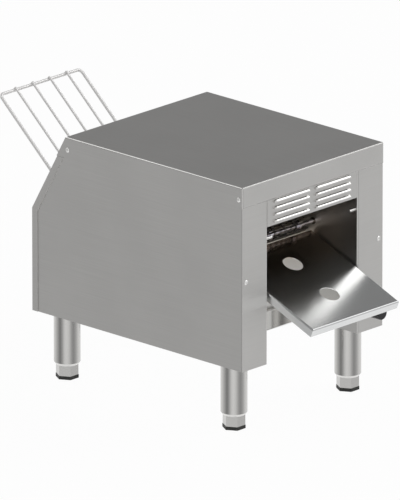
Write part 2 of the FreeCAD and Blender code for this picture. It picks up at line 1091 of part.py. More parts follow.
def rack_corner(label, side):
    """The quarter bend between a side rod and the upper bar."""
    item = doc.addObject("Part::Torus", label)
    bind(item, "Radius1", size.rack_corner)
    bind(item, "Radius2", size.rack_rod_radius)
    item.Angle3 = 90
    x = at_x(side, rack_half - size.rack_corner)
    if side < 0:
        return place(item, (x, -size.rack_corner, 0), (0, 0, 1), 90)
    return place(item, (x, -size.rack_corner, 0))


def make_wire_rack():
    rod = size.rack_rod_radius
    side_length = size.rack_foot_reach + rod + size.rack_seat_length
    pieces = []
    for name, side in SIDES:
        pieces.append(
            cylinder(
                f"wire_rack_{name}_rod",
                rod,
                side_length - size.rack_corner,
                (at_x(side, rack_half), -side_length, 0),
                "+Y",
            )
        )
        pieces.append(rack_corner(f"wire_rack_{name}_corner", side))
    bar_half = rack_half - size.rack_corner
    pieces.append(cylinder("wire_rack_upper_bar", rod, 2 * bar_half, (-bar_half, 0, 0), "+X"))
    pieces.append(
        cylinder(
            "wire_rack_lower_bar",
            rod,
            2 * rack_half,
            (-rack_half, -size.rack_foot_reach, 0),
            "+X",
        )
    )
    wire_level = rod + size.rack_wire_radius - size.rack_weld_sink
    outer_wire = rack_half - size.rack_wire_edge_gap
    for number in range(RACK_WIRES):
        x = (2 * number / (RACK_WIRES - 1) - 1) * outer_wire
        pieces.append(
            cylinder(
                f"wire_rack_wire_{number}",
                size.rack_wire_radius,
                size.rack_foot_reach + rod + size.rack_wire_overrun,
                (x, -size.rack_foot_reach - rod, wire_level),
                "+Y",
            )
        )
    keep(on_rack(joined("wire_rack", pieces)))


def make_rack_seat(name, side):
    """A block on the inner wall with a blind bore for one side rod."""
    label = f"{name}_rack_seat"
    rod = size.rack_rod_radius
    thick = rod + size.rack_seat_wall
    mouth = -size.rack_foot_reach - rod - size.rack_seat_gap
    floor = -size.rack_foot_reach - rod - size.rack_seat_length
    block = box(
        label + "_block",
        span(side, rack_half - thick, opening),
        (floor - size.rack_seat_floor, mouth),
        (-thick, thick),
    )
    bore = cylinder(
        label + "_bore",
        rod + size.running_gap,
        size.rack_seat_length + size.cut_overrun,
        (at_x(side, rack_half), floor, 0),
        "+Y",
    )
    keep(on_rack(less(label, block, [bore])))


def loop_wire(centre_a, radius_a, centre_b, radius_b, x):
    """The open-belt line round two circles, in a plane across X."""
    (ya, za), (yb, zb) = centre_a, centre_b
    distance = math.hypot(yb - ya, zb - za)
    bearing = math.atan2(zb - za, yb - ya)
    wrap = math.acos((radius_a - radius_b) / distance)

    def rim(centre, radius, angle):
        return FreeCAD.Vector(
            x, centre[0] + radius * math.cos(angle), centre[1] + radius * math.sin(angle)
        )

    above, below = bearing + wrap, bearing - wrap
    a_above, a_below = rim(centre_a, radius_a, above), rim(centre_a, radius_a, below)
    b_above, b_below = rim(centre_b, radius_b, above), rim(centre_b, radius_b, below)
    return Part.Wire(
        [
            Part.Arc(a_above, rim(centre_a, radius_a, bearing + math.pi), a_below).toShape(),
            Part.LineSegment(a_below, b_below).toShape(),
            Part.Arc(b_below, rim(centre_b, radius_b, bearing), b_above).toShape(),
            Part.LineSegment(b_above, a_above).toShape(),
        ]
    )


def loop_band(centre_a, radius_a, centre_b, radius_b, half_thickness, x, width):
    """A band of even thickness round two circles, from x on for its width."""
    outer = loop_wire(
        centre_a, radius_a + half_thickness, centre_b, radius_b + half_thickness, x
    )
    inner = loop_wire(
        centre_a, radius_a - half_thickness, centre_b, radius_b - half_thickness, x
    )
    solids = [
        Part.Face(line).extrude(FreeCAD.Vector(width, 0, 0)) for line in (outer, inner)
    ]
    return solids[0].cut(solids[1])


def make_conveyor_belt():
    """Cross rods between two edge strips, round both conveyor shafts."""
    radius = size.belt_radius.number
    wire = size.belt_wire_radius.number
    edge = size.belt_edge.number
    half_width = belt_half.number
    level = shaft_level.number
    front_y = back(size.front_shaft_back).number
    rear_y = back(rear_shaft_back).number
    solids = []
    for x in (-half_width, half_width - edge):
        solids += edge_links(front_y, rear_y, level, radius, wire, x, edge)
    run = rear_y - front_y
    total = 2 * run + 2 * math.pi * radius
    count = round(total / size.belt_rod_pitch.number)
    for number in range(count):
        along = number * total / count
        y, z = belt_point(along, front_y, level, radius, run)
        solids.append(
            Part.makeCylinder(
                wire,
                2 * (half_width - edge),
                FreeCAD.Vector(-half_width + edge, y, z),
                FreeCAD.Vector(1, 0, 0),
            )
        )
    belt = doc.addObject("Part::Feature", "conveyor_belt")
    belt.Shape = Part.makeCompound(solids)
    keep(belt)


def edge_links(front_y, rear_y, level, radius, half_thickness, x, width):
    """One edge of the belt: two straight strips, and short links round each end."""
    run = rear_y - front_y
    links = [
        Part.makeBox(
            width,
            run,
            2 * half_thickness,
            FreeCAD.Vector(x, front_y, level + side * radius - half_thickness),
        )
        for side in (1, -1)
    ]
    arc = math.pi / END_LINKS
    for y, first_angle in ((rear_y, -math.pi / 2), (front_y, math.pi / 2)):
        for number in range(END_LINKS):
            start = first_angle + number * arc
            radii = (radius - half_thickness, radius + half_thickness)
            links.append(bent_link((x, y, level), radii, start, start + arc, width))
    return links


def bent_link(centre, radii, start, end, width):
    """A flat link of an edge, between two angles from +Y about an axis along X."""
    x, y, z = centre
    inner, outer = radii
    spots = [
        FreeCAD.Vector(x, y + radius * math.cos(angle), z + radius * math.sin(angle))
        for radius, angle in ((inner, start), (outer, start), (outer, end), (inner, end))
    ]
    face = Part.Face(Part.makePolygon(spots + spots[:1]))
    return face.extrude(FreeCAD.Vector(width, 0, 0))


def belt_point(along, front_y, level, radius, run):
    """Y and Z of the belt's line, this far round it from the top of the front shaft."""
    half_turn = math.pi * radius
    if along < run:
        return front_y + along, level + radius
    along -= run
    if along < half_turn:
        angle = along / radius
        return front_y + run + radius * math.sin(angle), level + radius * math.cos(angle)
    along -= half_turn
    if along < run:
        return front_y + run - along, level - radius
    angle = (along - run) / radius
    return front_y - radius * math.sin(angle), level - radius * math.cos(angle)


def make_shaft(label, y, end):
    """A round shaft through both inner walls, with a collar beyond its left bushing."""
    left = wall_outside + size.shaft_stub
    collar_x = -(opening + size.bushing_length + size.fit_gap)
    rod = cylinder(label + "_rod", size.shaft_radius, left + end, (-left, y, shaft_level), "+X")
    collar = cylinder(
        label + "_collar",
        size.collar_radius,
        size.collar_length,
        (collar_x, y, shaft_level),
        "-X",
    )
    keep(joined(label, [rod, collar]))


def toothed_wheel(label, tip, seat_radius, teeth, thickness, bore, x, y, z):
    """A wheel along +X whose teeth are left between round seats in its rim."""
    rim = cylinder(label + "_rim", tip, thickness, (x, y, z), "+X")
    cuts = [
        cylinder(
            label + "_bore",
            bore,
            thickness + 2 * size.cut_overrun,
            (x - size.cut_overrun, y, z),
            "+X",
        )
    ]
    for number in range(teeth):
        turn = 2 * math.pi * number / teeth
        cuts.append(
            cylinder(
                f"{label}_seat_{number}",
                seat_radius,
                thickness + 2 * size.cut_overrun,
                (
                    x - size.cut_overrun,
                    y + (tip + seat_radius / 3) * math.sin(turn),
                    z + (tip + seat_radius / 3) * math.cos(turn),
                ),
                "+X",
            )
        )
    return less(label, rim, cuts)


def make_belt_sprockets(where, y):
    """The wheels under the belt, with hubs, fixed on one shaft."""
    wheels = []
    bore = size.shaft_radius + size.running_gap
    for number in range(BELT_SPROCKETS):
        middle = (2 * number / (BELT_SPROCKETS - 1) - 1) * (belt_half - size.belt_sprocket_inset)
        label = f"{where}_sprocket_{number}"
        wheel = toothed_wheel(
            label + "_wheel",
            size.belt_sprocket_tip,
            size.roller_radius,
            BELT_SPROCKET_TEETH,
            size.belt_sprocket_width,
            bore,
            middle - size.belt_sprocket_width / 2,
            y,
            shaft_level,
        )
        hub_start = middle - size.sprocket_hub_length / 2
        hub = cylinder(
            label + "_hub",
            size.sprocket_hub_radius,
            size.sprocket_hub_length,
            (hub_start, y, shaft_level),
            "+X",
        )
        hub_bore = cylinder(
            label + "_hub_bore",
            bore,
            size.sprocket_hub_length + 2 * size.cut_overrun,
            (hub_start - size.cut_overrun, y, shaft_level),
            "+X",
        )
        hub_ring = less(label + "_hub_ring", hub, [hub_bore])
        wheels.append(joined(label, [wheel, hub_ring]))
    keep(group(f"{where}_sprockets", wheels))


def make_shaft_bushings():
    bushings = []
    for where, y in shaft_places():
        for name, side in SIDES:
            label = f"{where}_{name}_bushing"
            sleeve = cylinder(
                label + "_sleeve",
                size.bushing_radius,
                size.bushing_length,
                (at_x(side, opening), y, shaft_level),
                OUTWARDS[side],
            )
            flange = cylinder(
                label + "_flange",
                size.bushing_flange_radius,
                size.bushing_flange,
                (at_x(side, wall_outside), y, shaft_level),
                OUTWARDS[side],
            )
            bore = cylinder(
                label + "_bore",
                size.shaft_radius + size.running_gap,
                size.bushing_length + 2 * size.cut_overrun,
                (at_x(side, opening - size.cut_overrun), y, shaft_level),
                OUTWARDS[side],
            )
            bushings.append(less(label, joined(label + "_blank", [sleeve, flange]), [bore]))
    keep(group("shaft_bushings", bushings))


def motor_axis():
    return back(size.motor_back), base + size.motor_rise


def drive_wheel(label, pitch_radius, teeth, y, z):
    tip = pitch_radius - size.roller_radius - size.chain_gap
    return toothed_wheel(
        label,
        tip,
        size.roller_radius,
        teeth,
        size.sprocket_thickness,
        size.shaft_radius + size.running_gap,
        chain_plane - size.sprocket_thickness / 2,
        y,
        z,
    )


def make_drive_chain():
    """The roller line and both rows of link plates, as one closed loop."""
    driven = (back(size.front_shaft_back).number, shaft_level.number)
    motor = tuple(term.number for term in motor_axis())
    radii = (size.driven_pitch_radius.number, size.motor_pitch_radius.number)
    inside = size.chain_inside.number
    plate = size.chain_plate.number
    plane = chain_plane.number
    rollers = loop_band(
        driven, radii[0], motor, radii[1], size.roller_radius.number, plane - inside / 2, inside
    )
    plates = [
        loop_band(driven, radii[0], motor, radii[1], size.chain_link_half.number, x, plate)
        for x in (plane - inside / 2 - plate, plane + inside / 2)
    ]
    chain = doc.addObject("Part::Feature", "drive_chain")
    chain.Shape = rollers.fuse(plates).removeSplitter()
    keep(chain)


def make_drive():
    motor_y, motor_z = motor_axis()
    shaft_y = back(size.front_shaft_back)
    keep(drive_wheel("driven_sprocket", size.driven_pitch_radius, DRIVEN_TEETH, shaft_y, shaft_level))
    keep(drive_wheel("motor_sprocket", size.motor_pitch_radius, MOTOR_TEETH, motor_y, motor_z))
    make_drive_chain()
    plate = chain_plane + size.motor_plate_offset
    plate_back = plate + size.motor_bracket_sheet
    stub = chain_plane - size.sprocket_thickness
    keep(
        cylinder(
            "motor_shaft",
            size.shaft_radius,
            plate_back - size.fit_gap - stub,
            (stub, motor_y, motor_z),
            "+X",
        )
    )
    wide = size.motor_bracket_width / 2
    rail_floor = base + size.rail_sheet
    upright = box(
        "motor_bracket_upright",
        (plate, plate_back),
        (motor_y - wide, motor_y + wide),
        (rail_floor, motor_z + size.motor_bracket_margin),
    )
    foot = box(
        "motor_bracket_foot",
        (plate, plate + size.motor_bracket_foot),
        (motor_y - wide, motor_y + wide),
        (rail_floor, rail_floor + size.motor_bracket_sheet),
    )
    window = cylinder(
        "motor_bracket_window",
        size.motor_boss_radius,
        size.motor_bracket_sheet + 2 * size.cut_overrun,
        (plate - size.cut_overrun, motor_y, motor_z),
        "+X",
    )
    keep(less("motor_bracket", joined("motor_bracket_blank", [upright, foot]), [window]))
    gearbox = box(
        "gear_motor_gearbox",
        (plate_back, plate_back + size.gearbox_length),
        (motor_y - size.gearbox_side / 2, motor_y + size.gearbox_side / 2),
        (motor_z - size.gearbox_side / 2, motor_z + size.gearbox_side / 2),
    )
    can = cylinder(
        "gear_motor_can",
        size.motor_radius,
        side_inside - size.motor_end_gap - plate_back - size.gearbox_length,
        (plate_back + size.gearbox_length, motor_y, motor_z),
        "+X",
    )
    keep(joined("gear_motor", [gearbox, can]))


def make_heating():
    """Tubular elements above and below the top run, their ceramic ends, and two reflectors."""
    rows = heater_places()
    reach = wall_outside + size.heater_stub
    for name, places in zip(("upper_heaters", "lower_heaters"), rows):
        bars = [
            cylinder(f"{where}_heater", size.heater_radius, 2 * reach, (-reach, y, z), "+X")
            for where, y, z in places
        ]
        keep(group(name, bars))
    holders = []
    for where, y, z in rows[0] + rows[1]:
        for name, side in SIDES:
            label = f"{where}_{name}_holder"
            ring = cylinder(
                label + "_ring",
                size.holder_radius,
                size.holder_length,
                (at_x(side, opening - size.holder_inset), y, z),
                OUTWARDS[side],
            )
            bore = cylinder(
                label + "_bore",
                size.heater_radius + size.holder_gap,
                size.holder_length + 2 * size.cut_overrun,
                (at_x(side, opening - size.holder_inset - size.cut_overrun), y, z),
                OUTWARDS[side],
            )
            holders.append(less(label, ring, [bore]))
    keep(group("ceramic_holders", holders))
    level = top - size.reflector_drop
    reflector_rear = back(rear_shaft_back - size.reflector_rear_gap)
    block = box(
        "upper_reflector_block",
        (-opening, opening),
        (back(size.reflector_front), reflector_rear),
        (level - size.reflector_lip, level),
    )
    hollow = box(
        "upper_reflector_hollow",
        (-opening - size.cut_overrun, opening + size.cut_overrun),
        (back(size.reflector_front) + size.sheet, reflector_rear - size.sheet),
        (level - size.reflector_lip - size.cut_overrun, level - size.sheet),
    )
    keep(less("upper_reflector", block, [hollow]))
    low = shaft_level - size.holder_radius - size.fit_gap - size.sheet
    keep(
        box(
            "lower_reflector",
            (-opening, opening),
            (
                back(size.lower_reflector_front),
                back(rear_shaft_back - size.lower_reflector_rear_gap),
            ),
            (low, low + size.sheet),
        )
    )


def control_places():
    """Name and height of each control's axis."""
    return (
        ("speed", base + size.speed_knob_rise),
        ("selector", base + size.selector_knob_rise),
    )


def make_control(name, z):
    """A controller behind the right stile, its spindle, and the knob in front."""
    x = bay_middle
    stile_back = back(lap + size.sheet)
    face = back(lap)
    knob_front = face - size.knob_reach
    knob_back = knob_front + size.knob_length
    half_box = size.control_box / 2
    case = box(
        f"{name}_controller_case",
        (x - half_box, x + half_box),
        (stile_back, stile_back + size.control_box_depth),
        (z - half_box, z + half_box),
    )
    neck_front = knob_back + size.fit_gap
    neck = cylinder(
        f"{name}_controller_neck", size.neck_radius, stile_back - neck_front, (x, neck_front, z), "+Y"
    )
    nut = hex_bar(
        f"{name}_controller_nut", size.neck_nut_radius, size.neck_nut, (x, face, z), "-Y"
    )
    spindle_back = stile_back + size.neck_length
    bore = cylinder(
        f"{name}_controller_bore",
        size.spindle_radius + size.running_gap,
        spindle_back - neck_front + size.cut_overrun,
        (x, neck_front - size.cut_overrun, z),
        "+Y",
    )
    blank = joined(f"{name}_controller_blank", [case, neck, nut])
    keep(less(f"{name}_controller", blank, [bore]))
    spindle_front = knob_back - size.knob_bore_depth
    keep(
        cylinder(
            f"{name}_spindle",
            size.spindle_radius,
            spindle_back - size.fit_gap - spindle_front,
            (x, spindle_front, z),
            "+Y",
        )
    )
    make_knob(f"{name}_knob", x, knob_front, z)


def make_knob(label, x, y, z):
    """A fluted knob with a rounded front and a blind bore for its spindle."""
    body = doc.addObject("PartDesign::Body", label + "_body")
    disc = body.newObject("Sketcher::SketchObject", label + "_disc")
    plane = [item for item in body.Origin.OriginFeatures if item.Role == "XY_Plane"][0]
    disc.AttachmentSupport = [(plane, "")]
    disc.MapMode = "FlatFace"
    up = FreeCAD.Vector(0, 0, 1)
    disc.addGeometry(Part.Circle(FreeCAD.Vector(), up, size.knob_radius.number), False)
    disc.addConstraint(Sketcher.Constraint("Coincident", 0, 3, -1, 1))
    held = disc.addConstraint(Sketcher.Constraint("Radius", 0, size.knob_radius.number))
    bind(disc, f"Constraints[{held}]", size.knob_radius)
    pad = body.newObject("PartDesign::Pad", label + "_pad")
    pad.Profile = disc
    bind(pad, "Length", size.knob_length)
    doc.recompute()
    rim = [
        f"Edge{number}"
        for number, edge in enumerate(pad.Shape.Edges, start=1)
        if all(near(vertex.Z, size.knob_length) for vertex in edge.Vertexes)
    ]
    bend = body.newObject("PartDesign::Fillet", label + "_round")
    bend.Base = (pad, rim)
    bind(bend, "Radius", size.knob_round)
    flutes = [
        cylinder(
            f"{label}_flute_{number}",
            size.flute_radius,
            size.knob_length + 2 * size.cut_overrun,
            (
                (size.knob_radius + size.flute_radius / 2) * math.cos(2 * math.pi * number / KNOB_FLUTES),
                (size.knob_radius + size.flute_radius / 2) * math.sin(2 * math.pi * number / KNOB_FLUTES),
                -size.cut_overrun,
            ),
        )
        for number in range(KNOB_FLUTES)
    ]
    bore = cylinder(
        label + "_bore",
        size.spindle_radius + size.running_gap,
        size.knob_bore_depth + size.cut_overrun,
        (0, 0, -size.cut_overrun),
    )
    knob = less(label, body, flutes + [bore])
    keep(place(knob, (x, y + size.knob_length, z), (1, 0, 0), 90))


def make_terminal_block():
    x = bay_middle
    clear = size.leg_inset + size.bolt_head_radius + size.terminal_gap
    y = rear - clear - size.terminal_length
    low = base + size.rail_sheet
    high = low + size.terminal_height
    body = box(
        "terminal_block_body",
        (x - size.terminal_width / 2, x + size.terminal_width / 2),
        (y, y + size.terminal_length),
        (low, high),
    )
    wells = []
    for number in range(TERMINALS):
        for side in (-1, 1):
            wells.append(
                cylinder(
                    f"terminal_well_{number}_{side + 1}",
                    size.terminal_screw_radius,
                    size.terminal_height,
                    (
                        x + side * size.terminal_width / 4,
                        y + (number + 0.5) / TERMINALS * size.terminal_length,
                        low + size.terminal_height / 2,
                    ),
                )
            )
    keep(less("terminal_block", body, wells))


def make_cable_gland():
    """A gland through the rear sheet, with a nut on each side of it and a cap outside."""
    x = bay_middle
    z = base + size.gland_rise
    outer_face = rear - lap
    inner_face = outer_face - size.sheet
    start = inner_face - size.gland_nut_length
    end = outer_face + size.gland_nut_length + size.gland_cap_length
    pieces = [
        cylinder("gland_barrel", size.gland_radius, end - start, (x, start, z), "+Y"),
        hex_bar("gland_inner_nut", size.gland_nut, size.gland_nut_length, (x, start, z), "+Y"),
        hex_bar("gland_outer_nut", size.gland_nut, size.gland_nut_length, (x, outer_face, z), "+Y"),
        cylinder(
            "gland_cap",
            size.gland_cap_radius,
            size.gland_cap_length,
            (x, outer_face + size.gland_nut_length, z),
            "+Y",
        ),
    ]
    bore = cylinder(
        "gland_bore",
        size.gland_bore,
        end - start + 2 * size.cut_overrun,
        (x, start - size.cut_overrun, z),
        "+Y",
    )
    keep(less("cable_gland", joined("gland_blank", pieces), [bore]))


def make_leg(label, x, y):
    """A round tube leg closed by a top plate and a bored plug, on a levelling foot and pad."""
    low = size.pad_height + size.foot_hex_height + size.foot_taper
    tube = cylinder(f"{label}_leg_tube", size.leg_radius, base - low, (x, y, low))
    cavity = cylinder(
        f"{label}_leg_cavity",
        size.leg_radius - size.leg_wall,
        base - low - size.leg_plug - size.leg_top,
        (x, y, low + size.leg_plug),
    )
    stem_bore = cylinder(
        f"{label}_leg_stem_bore",
        size.foot_stem_radius + size.running_gap,
        size.leg_plug + 2 * size.cut_overrun,
        (x, y, low - size.cut_overrun),
    )
    bolt_bore = cylinder(
        f"{label}_leg_bolt_bore",
        size.bolt_radius + size.running_gap,
        size.leg_top + 2 * size.cut_overrun,
        (x, y, base - size.leg_top - size.cut_overrun),
    )
    keep(less(f"{label}_leg", tube, [cavity, stem_bore, bolt_bore]))
    hexagon = hex_bar(
        f"{label}_foot_hexagon", size.foot_hex_radius, size.foot_hex_height, (x, y, size.pad_height)
    )
    taper = doc.addObject("Part::Cone", f"{label}_foot_taper")
    bind(taper, "Radius1", size.foot_hex_radius)
    bind(taper, "Radius2", size.leg_radius)
    bind(taper, "Height", size.foot_taper)
    place(taper, (x, y, size.pad_height + size.foot_hex_height))
    stem = cylinder(f"{label}_foot_stem", size.foot_stem_radius, size.foot_stem_length, (x, y, low))
    keep(joined(f"{label}_foot", [hexagon, taper, stem]))
    keep(hex_bar(f"{label}_foot_pad", size.pad_radius, size.pad_height, (x, y, 0)))


def make_legs():
    bolts = []
    seat = base + size.rail_sheet
    for row, y in leg_rows():
        for name, side in SIDES:
            x = at_x(side, leg_x)
            make_leg(f"{row}_{name}", x, y)
            label = f"{row}_{name}_leg_bolt"
            shank = cylinder(
                label + "_shank", size.bolt_radius, size.bolt_grip, (x, y, seat - size.bolt_grip)
            )
            head = hex_bar(label + "_head", size.bolt_head_radius, size.bolt_head, (x, y, seat))
            bolts.append(joined(label, [shank, head]))
    keep(group("leg_bolts", bolts))


def dome_screw(label, at, axis):
    """A domed head on a shank; the axis points from the head into the work."""
    shank = cylinder(label + "_shank", size.screw_radius, size.screw_grip, at, axis)
    rise = size.screw_head
    wide = size.screw_head_radius
    ball = (wide * wide + rise * rise) / (2 * rise)
    head = doc.addObject("Part::Sphere", label + "_head")
    bind(head, "Radius", ball)
    bind(head, "Angle1", arc_sine((ball - rise) / ball))
    turn, angle = AXIS_TURNS[{"+X": "-X", "-X": "+X", "+Y": "-Y", "-Y": "+Y"}[axis]]
    sign = {"+": 1, "-": -1}[axis[0]]
    shift = [sign * (ball - rise) if letter == axis[1] else 0 for letter in "XYZ"]
    place(head, tuple(term + move for term, move in zip(at, shift)), turn, angle)
    return joined(label, [shank, head])


def make_screws():
    level = top - size.cover_screw_drop
    cover = []
    stile = []
    for name, side in SIDES:
        for number, y in enumerate(cover_screw_places()):
            spot = (at_x(side, half), y, level)
            cover.append(dome_screw(f"{name}_cover_screw_{number}", spot, INWARDS[side]))
        spot = (stile_screw_x(side), back(lap), top - size.stile_screw_drop)
        stile.append(dome_screw(f"{name}_stile_screw", spot, "+Y"))
    keep(group("cover_screws", cover))
    keep(group("stile_screws", stile))


def make_all():
    make_top_cover()
    make_louvre_panel()
    make_rear_casing()
    make_rear_slope()
    for name, side in SIDES:
        make_side_panel(name, side)
        make_front_panel(name, side)
        make_base_rail(name, side)
        make_chute_rail(name, side)
        make_rack_seat(name, side)
    make_base_plate()
    make_bulkhead()
    make_crumb_tray()
    make_toast_chute()
    make_guide_pins()
    make_wire_rack()
    make_conveyor_belt()
    drive_end = chain_plane + size.sprocket_thickness * 2
    for where, y in shaft_places():
        end = drive_end if where == "front" else wall_outside + size.shaft_stub
        make_shaft(f"{where}_shaft", y, end)
        make_belt_sprockets(where, y)
    make_shaft_bushings()
    make_drive()
    make_heating()
    for name, level in control_places():
        make_control(name, level)
    make_terminal_block()
    make_cable_gland()
    make_legs()
    make_screws()


def check_and_write():
    doc.recompute()
    failed = [
        item.Label
        for item in doc.Objects
        if any(state in ("Invalid", "Error") for state in item.State)
    ]
    if failed:
        raise RuntimeError(f"failed objects: {failed}")
    for item in nodes:
        if item.Shape.isNull() or not item.Shape.isValid():
            raise RuntimeError(f"{item.Label} has no valid shape")
    os.makedirs("parts", exist_ok=True)
    for item in nodes:
        item.Shape.exportStep(f"parts/{item.Label}.step")
        print(item.Label, len(item.Shape.Solids), "solids", round(item.Shape.Volume), "mm3")


make_all()
check_and_write()
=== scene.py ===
import json
import math

import bmesh
import bpy
from mathutils import Matrix, Vector


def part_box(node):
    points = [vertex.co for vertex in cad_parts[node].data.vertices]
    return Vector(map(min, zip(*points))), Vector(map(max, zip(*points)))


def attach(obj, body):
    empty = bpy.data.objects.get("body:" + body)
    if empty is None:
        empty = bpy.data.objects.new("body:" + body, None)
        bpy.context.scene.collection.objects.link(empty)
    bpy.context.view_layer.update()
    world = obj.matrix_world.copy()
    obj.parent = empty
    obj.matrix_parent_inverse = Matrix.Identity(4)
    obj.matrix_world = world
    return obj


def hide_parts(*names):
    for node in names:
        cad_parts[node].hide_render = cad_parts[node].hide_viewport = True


# The dressed conveyor toaster. All lengths are metres, in the frame's own axes:
# +X right seen from the front, +Y to the rear, +Z up, floor at zero.

MM = 0.001

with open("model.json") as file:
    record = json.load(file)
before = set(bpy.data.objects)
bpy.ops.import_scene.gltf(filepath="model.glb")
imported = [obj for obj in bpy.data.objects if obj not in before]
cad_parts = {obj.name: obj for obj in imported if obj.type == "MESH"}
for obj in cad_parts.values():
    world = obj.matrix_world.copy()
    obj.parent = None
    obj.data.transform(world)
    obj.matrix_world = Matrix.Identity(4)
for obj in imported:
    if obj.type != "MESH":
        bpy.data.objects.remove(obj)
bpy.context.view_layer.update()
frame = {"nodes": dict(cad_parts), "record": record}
nodes = frame["nodes"]
front_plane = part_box("top_cover")[0].y

# The photograph's view, in its own pixels. The corner is the cover's top one at the
# front left, half the casing's width from its middle.
PHOTO_WIDTH_PX = 400
PHOTO_HEIGHT_PX = 500
CORNER_X_PX = 242.3
CORNER_Y_PX = 188.4
COVER_HALF = 190 * MM
METRES_PER_PX = 1.8225 * MM
AZIMUTH = -46.64
ELEVATION = 18.20
SENSOR = 36.0
LENS = 1300.0
CLIP_START_DIVISOR = 100
CLIP_END_FACTOR = 3


class Shader:
    """A small node-tree builder for one material or world."""

    def __init__(self, tree):
        self.tree = tree
        self.tree.nodes.clear()

    def add(self, kind, **settings):
        node = self.tree.nodes.new(kind)
        for name, value in settings.items():
            setattr(node, name, value)
        return node

    def link(self, source, target):
        self.tree.links.new(source, target)

    def feed(self, socket, value):
        """Gives a socket its input, which is another socket or a plain value."""
        if isinstance(value, bpy.types.NodeSocket):
            self.link(value, socket)
        else:
            socket.default_value = value

    def number(self, operation, first, second, clamp=False):
        """A math node; its inputs are sockets or plain numbers."""
        node = self.add("ShaderNodeMath", operation=operation, use_clamp=clamp)
        for socket, value in zip(node.inputs, (first, second)):
            self.feed(socket, value)
        return node.outputs[0]

    def remap(self, value, limits, to_low, to_high):
        """Goes softly from one value to the other between the two limits."""
        node = self.add("ShaderNodeMapRange", interpolation_type="SMOOTHSTEP")
        for name, term in (
            ("Value", value),
            ("From Min", limits[0]),
            ("From Max", limits[1]),
            ("To Min", to_low),
            ("To Max", to_high),
        ):
            self.feed(node.inputs[name], term)
        return node.outputs["Result"]

    def share(self, value, limits):
        """0 at the first limit and before it, 1 at the second and beyond."""
        return self.remap(value, limits, 0.0, 1.0)

    def blend(self, factor, first, second, mode="MIX"):
        """Mixes two colours; each is a socket or a grey or RGB value."""
        node = self.add("ShaderNodeMix", data_type="RGBA", blend_type=mode)
        self.feed(node.inputs["Factor"], factor)
        self.feed(node.inputs["A"], colour(first))
        self.feed(node.inputs["B"], colour(second))
        return node.outputs["Result"]

    def mix_shaders(self, factor, first, second):
        node = self.add("ShaderNodeMixShader")
        for socket, source in zip(node.inputs, (factor, first, second)):
            self.link(source, socket)
        return node.outputs[0]

    def ramp(self, value, stops):
        """A grey that follows a list of (place from 0 to 1, brightness)."""
        node = self.add("ShaderNodeValToRGB")
        elements = node.color_ramp.elements
        elements[0].position, elements[1].position = stops[0][0], stops[-1][0]
        for position, _ in stops[1:-1]:
            elements.new(position)
        for element, (_, tone) in zip(elements, stops):
            element.color = colour(tone)
        self.link(value, node.inputs[0])
        return node.outputs[0]

    def split(self, source):
        """The X, Y and Z of a vector, as sockets."""
        node = self.add("ShaderNodeSeparateXYZ")
        self.link(source, node.inputs[0])
        return node.outputs

    def stretched_noise(self, cells, detail, rough):
        """Noise in the piece's own axes, at so many cells per metre along each axis."""
        place = self.add("ShaderNodeTexCoord")
        mapping = self.add("ShaderNodeMapping")
        mapping.inputs["Scale"].default_value = cells
        noise = self.add("ShaderNodeTexNoise")
        noise.inputs["Scale"].default_value = 1.0
        noise.inputs["Detail"].default_value = detail
        noise.inputs["Roughness"].default_value = rough
        self.link(place.outputs["Object"], mapping.inputs["Vector"])
        self.link(mapping.outputs["Vector"], noise.inputs["Vector"])
        return noise.outputs["Fac"]

    def raise_bumps(self, bsdf, height, strength):
        """Lets a noise raise the surface by a hair's breadth."""
        bump = self.add("ShaderNodeBump")
        bump.inputs["Strength"].default_value = strength
        bump.inputs["Distance"].default_value = BUMP_DISTANCE
        self.link(height, bump.inputs["Height"])
        self.link(bump.outputs["Normal"], bsdf.inputs["Normal"])


def colour(value):
    """A grey number or an RGB triple as a colour; sockets pass through."""
    if isinstance(value, bpy.types.NodeSocket):
        return value
    if isinstance(value, (int, float)):
        return (value, value, value, 1.0)
    return (*value, 1.0)


def srgb(*values):
    """8-bit display values as the linear colour that renders as them."""
    linear = []
    for value in values:
        share = value / 255
        if share <= 0.04045:
            linear.append(share / 12.92)
        else:
            linear.append(((share + 0.055) / 1.055) ** 2.4)
    return tuple(linear)


# The finishes. Every one is made of nodes, and has the name of its slot in the record.

BUMP_DISTANCE = 0.05 * MM

# Cells per metre along and across the scratches, for each direction of the grain. A
# noise is its detail and its roughness.
GRAIN_LONG = 6.0
GRAIN_FINE = 1400.0
GRAINS = {
    "X": (GRAIN_LONG, GRAIN_FINE, GRAIN_FINE),
    "Y": (GRAIN_FINE, GRAIN_LONG, GRAIN_FINE),
    "Z": (GRAIN_FINE, GRAIN_FINE, GRAIN_LONG),
}
SCRATCH_NOISE = (2.0, 0.6)
SCRATCH_BUMP = 0.02
SMUDGE_CELLS = (7.0, 7.0, 7.0)
SMUDGE_NOISE = (3.0, 0.5)
SMUDGE_DEPTH = 0.02
NOISE_LIMITS = (0.3, 0.7)
UNEVEN_SHEEN = 0.05

# Where painted shade darkens the steel inside the mouth: inwards from the front, and
# upwards.
INSIDE_SHADE_INWARD = (4.0 * MM, 70.0 * MM)
INSIDE_SHADE_UPWARD = (200.0 * MM, 300.0 * MM)
# The tint of that painted shade, strong on the chute and slight on the wall, and how much
# rougher the steel gets there.
WALL_INSIDE_SHADE = ((1.0, 0.95, 0.89), 0.13)
CHUTE_INSIDE_SHADE = ((0.68, 0.57, 0.47), 0.0)

# Folds are told from the face by their normal: its Z on a hem that turns under, its Z
# and Y on a bend from a sheet's top to its front, its X on a flange at the left.
HEM_SHADE_LIMITS = (-0.02, -0.40)
BEND_BELOW_TOP = (0.90, 0.78)
BEND_ABOVE_FRONT = (0.25, 0.50)
BEND_FORWARD = (-0.2, -0.5)
FLANGE_LIGHT_LIMITS = (-0.60, -0.95)
# Tone factors that paint light on the folds: painted shade on the hem and the bends,
# painted light on the flange.
HEM_SHADE_FACTOR = 0.58
BEND_SHADE_FACTOR = 0.54
FLANGE_LIGHT_FACTOR = 1.34

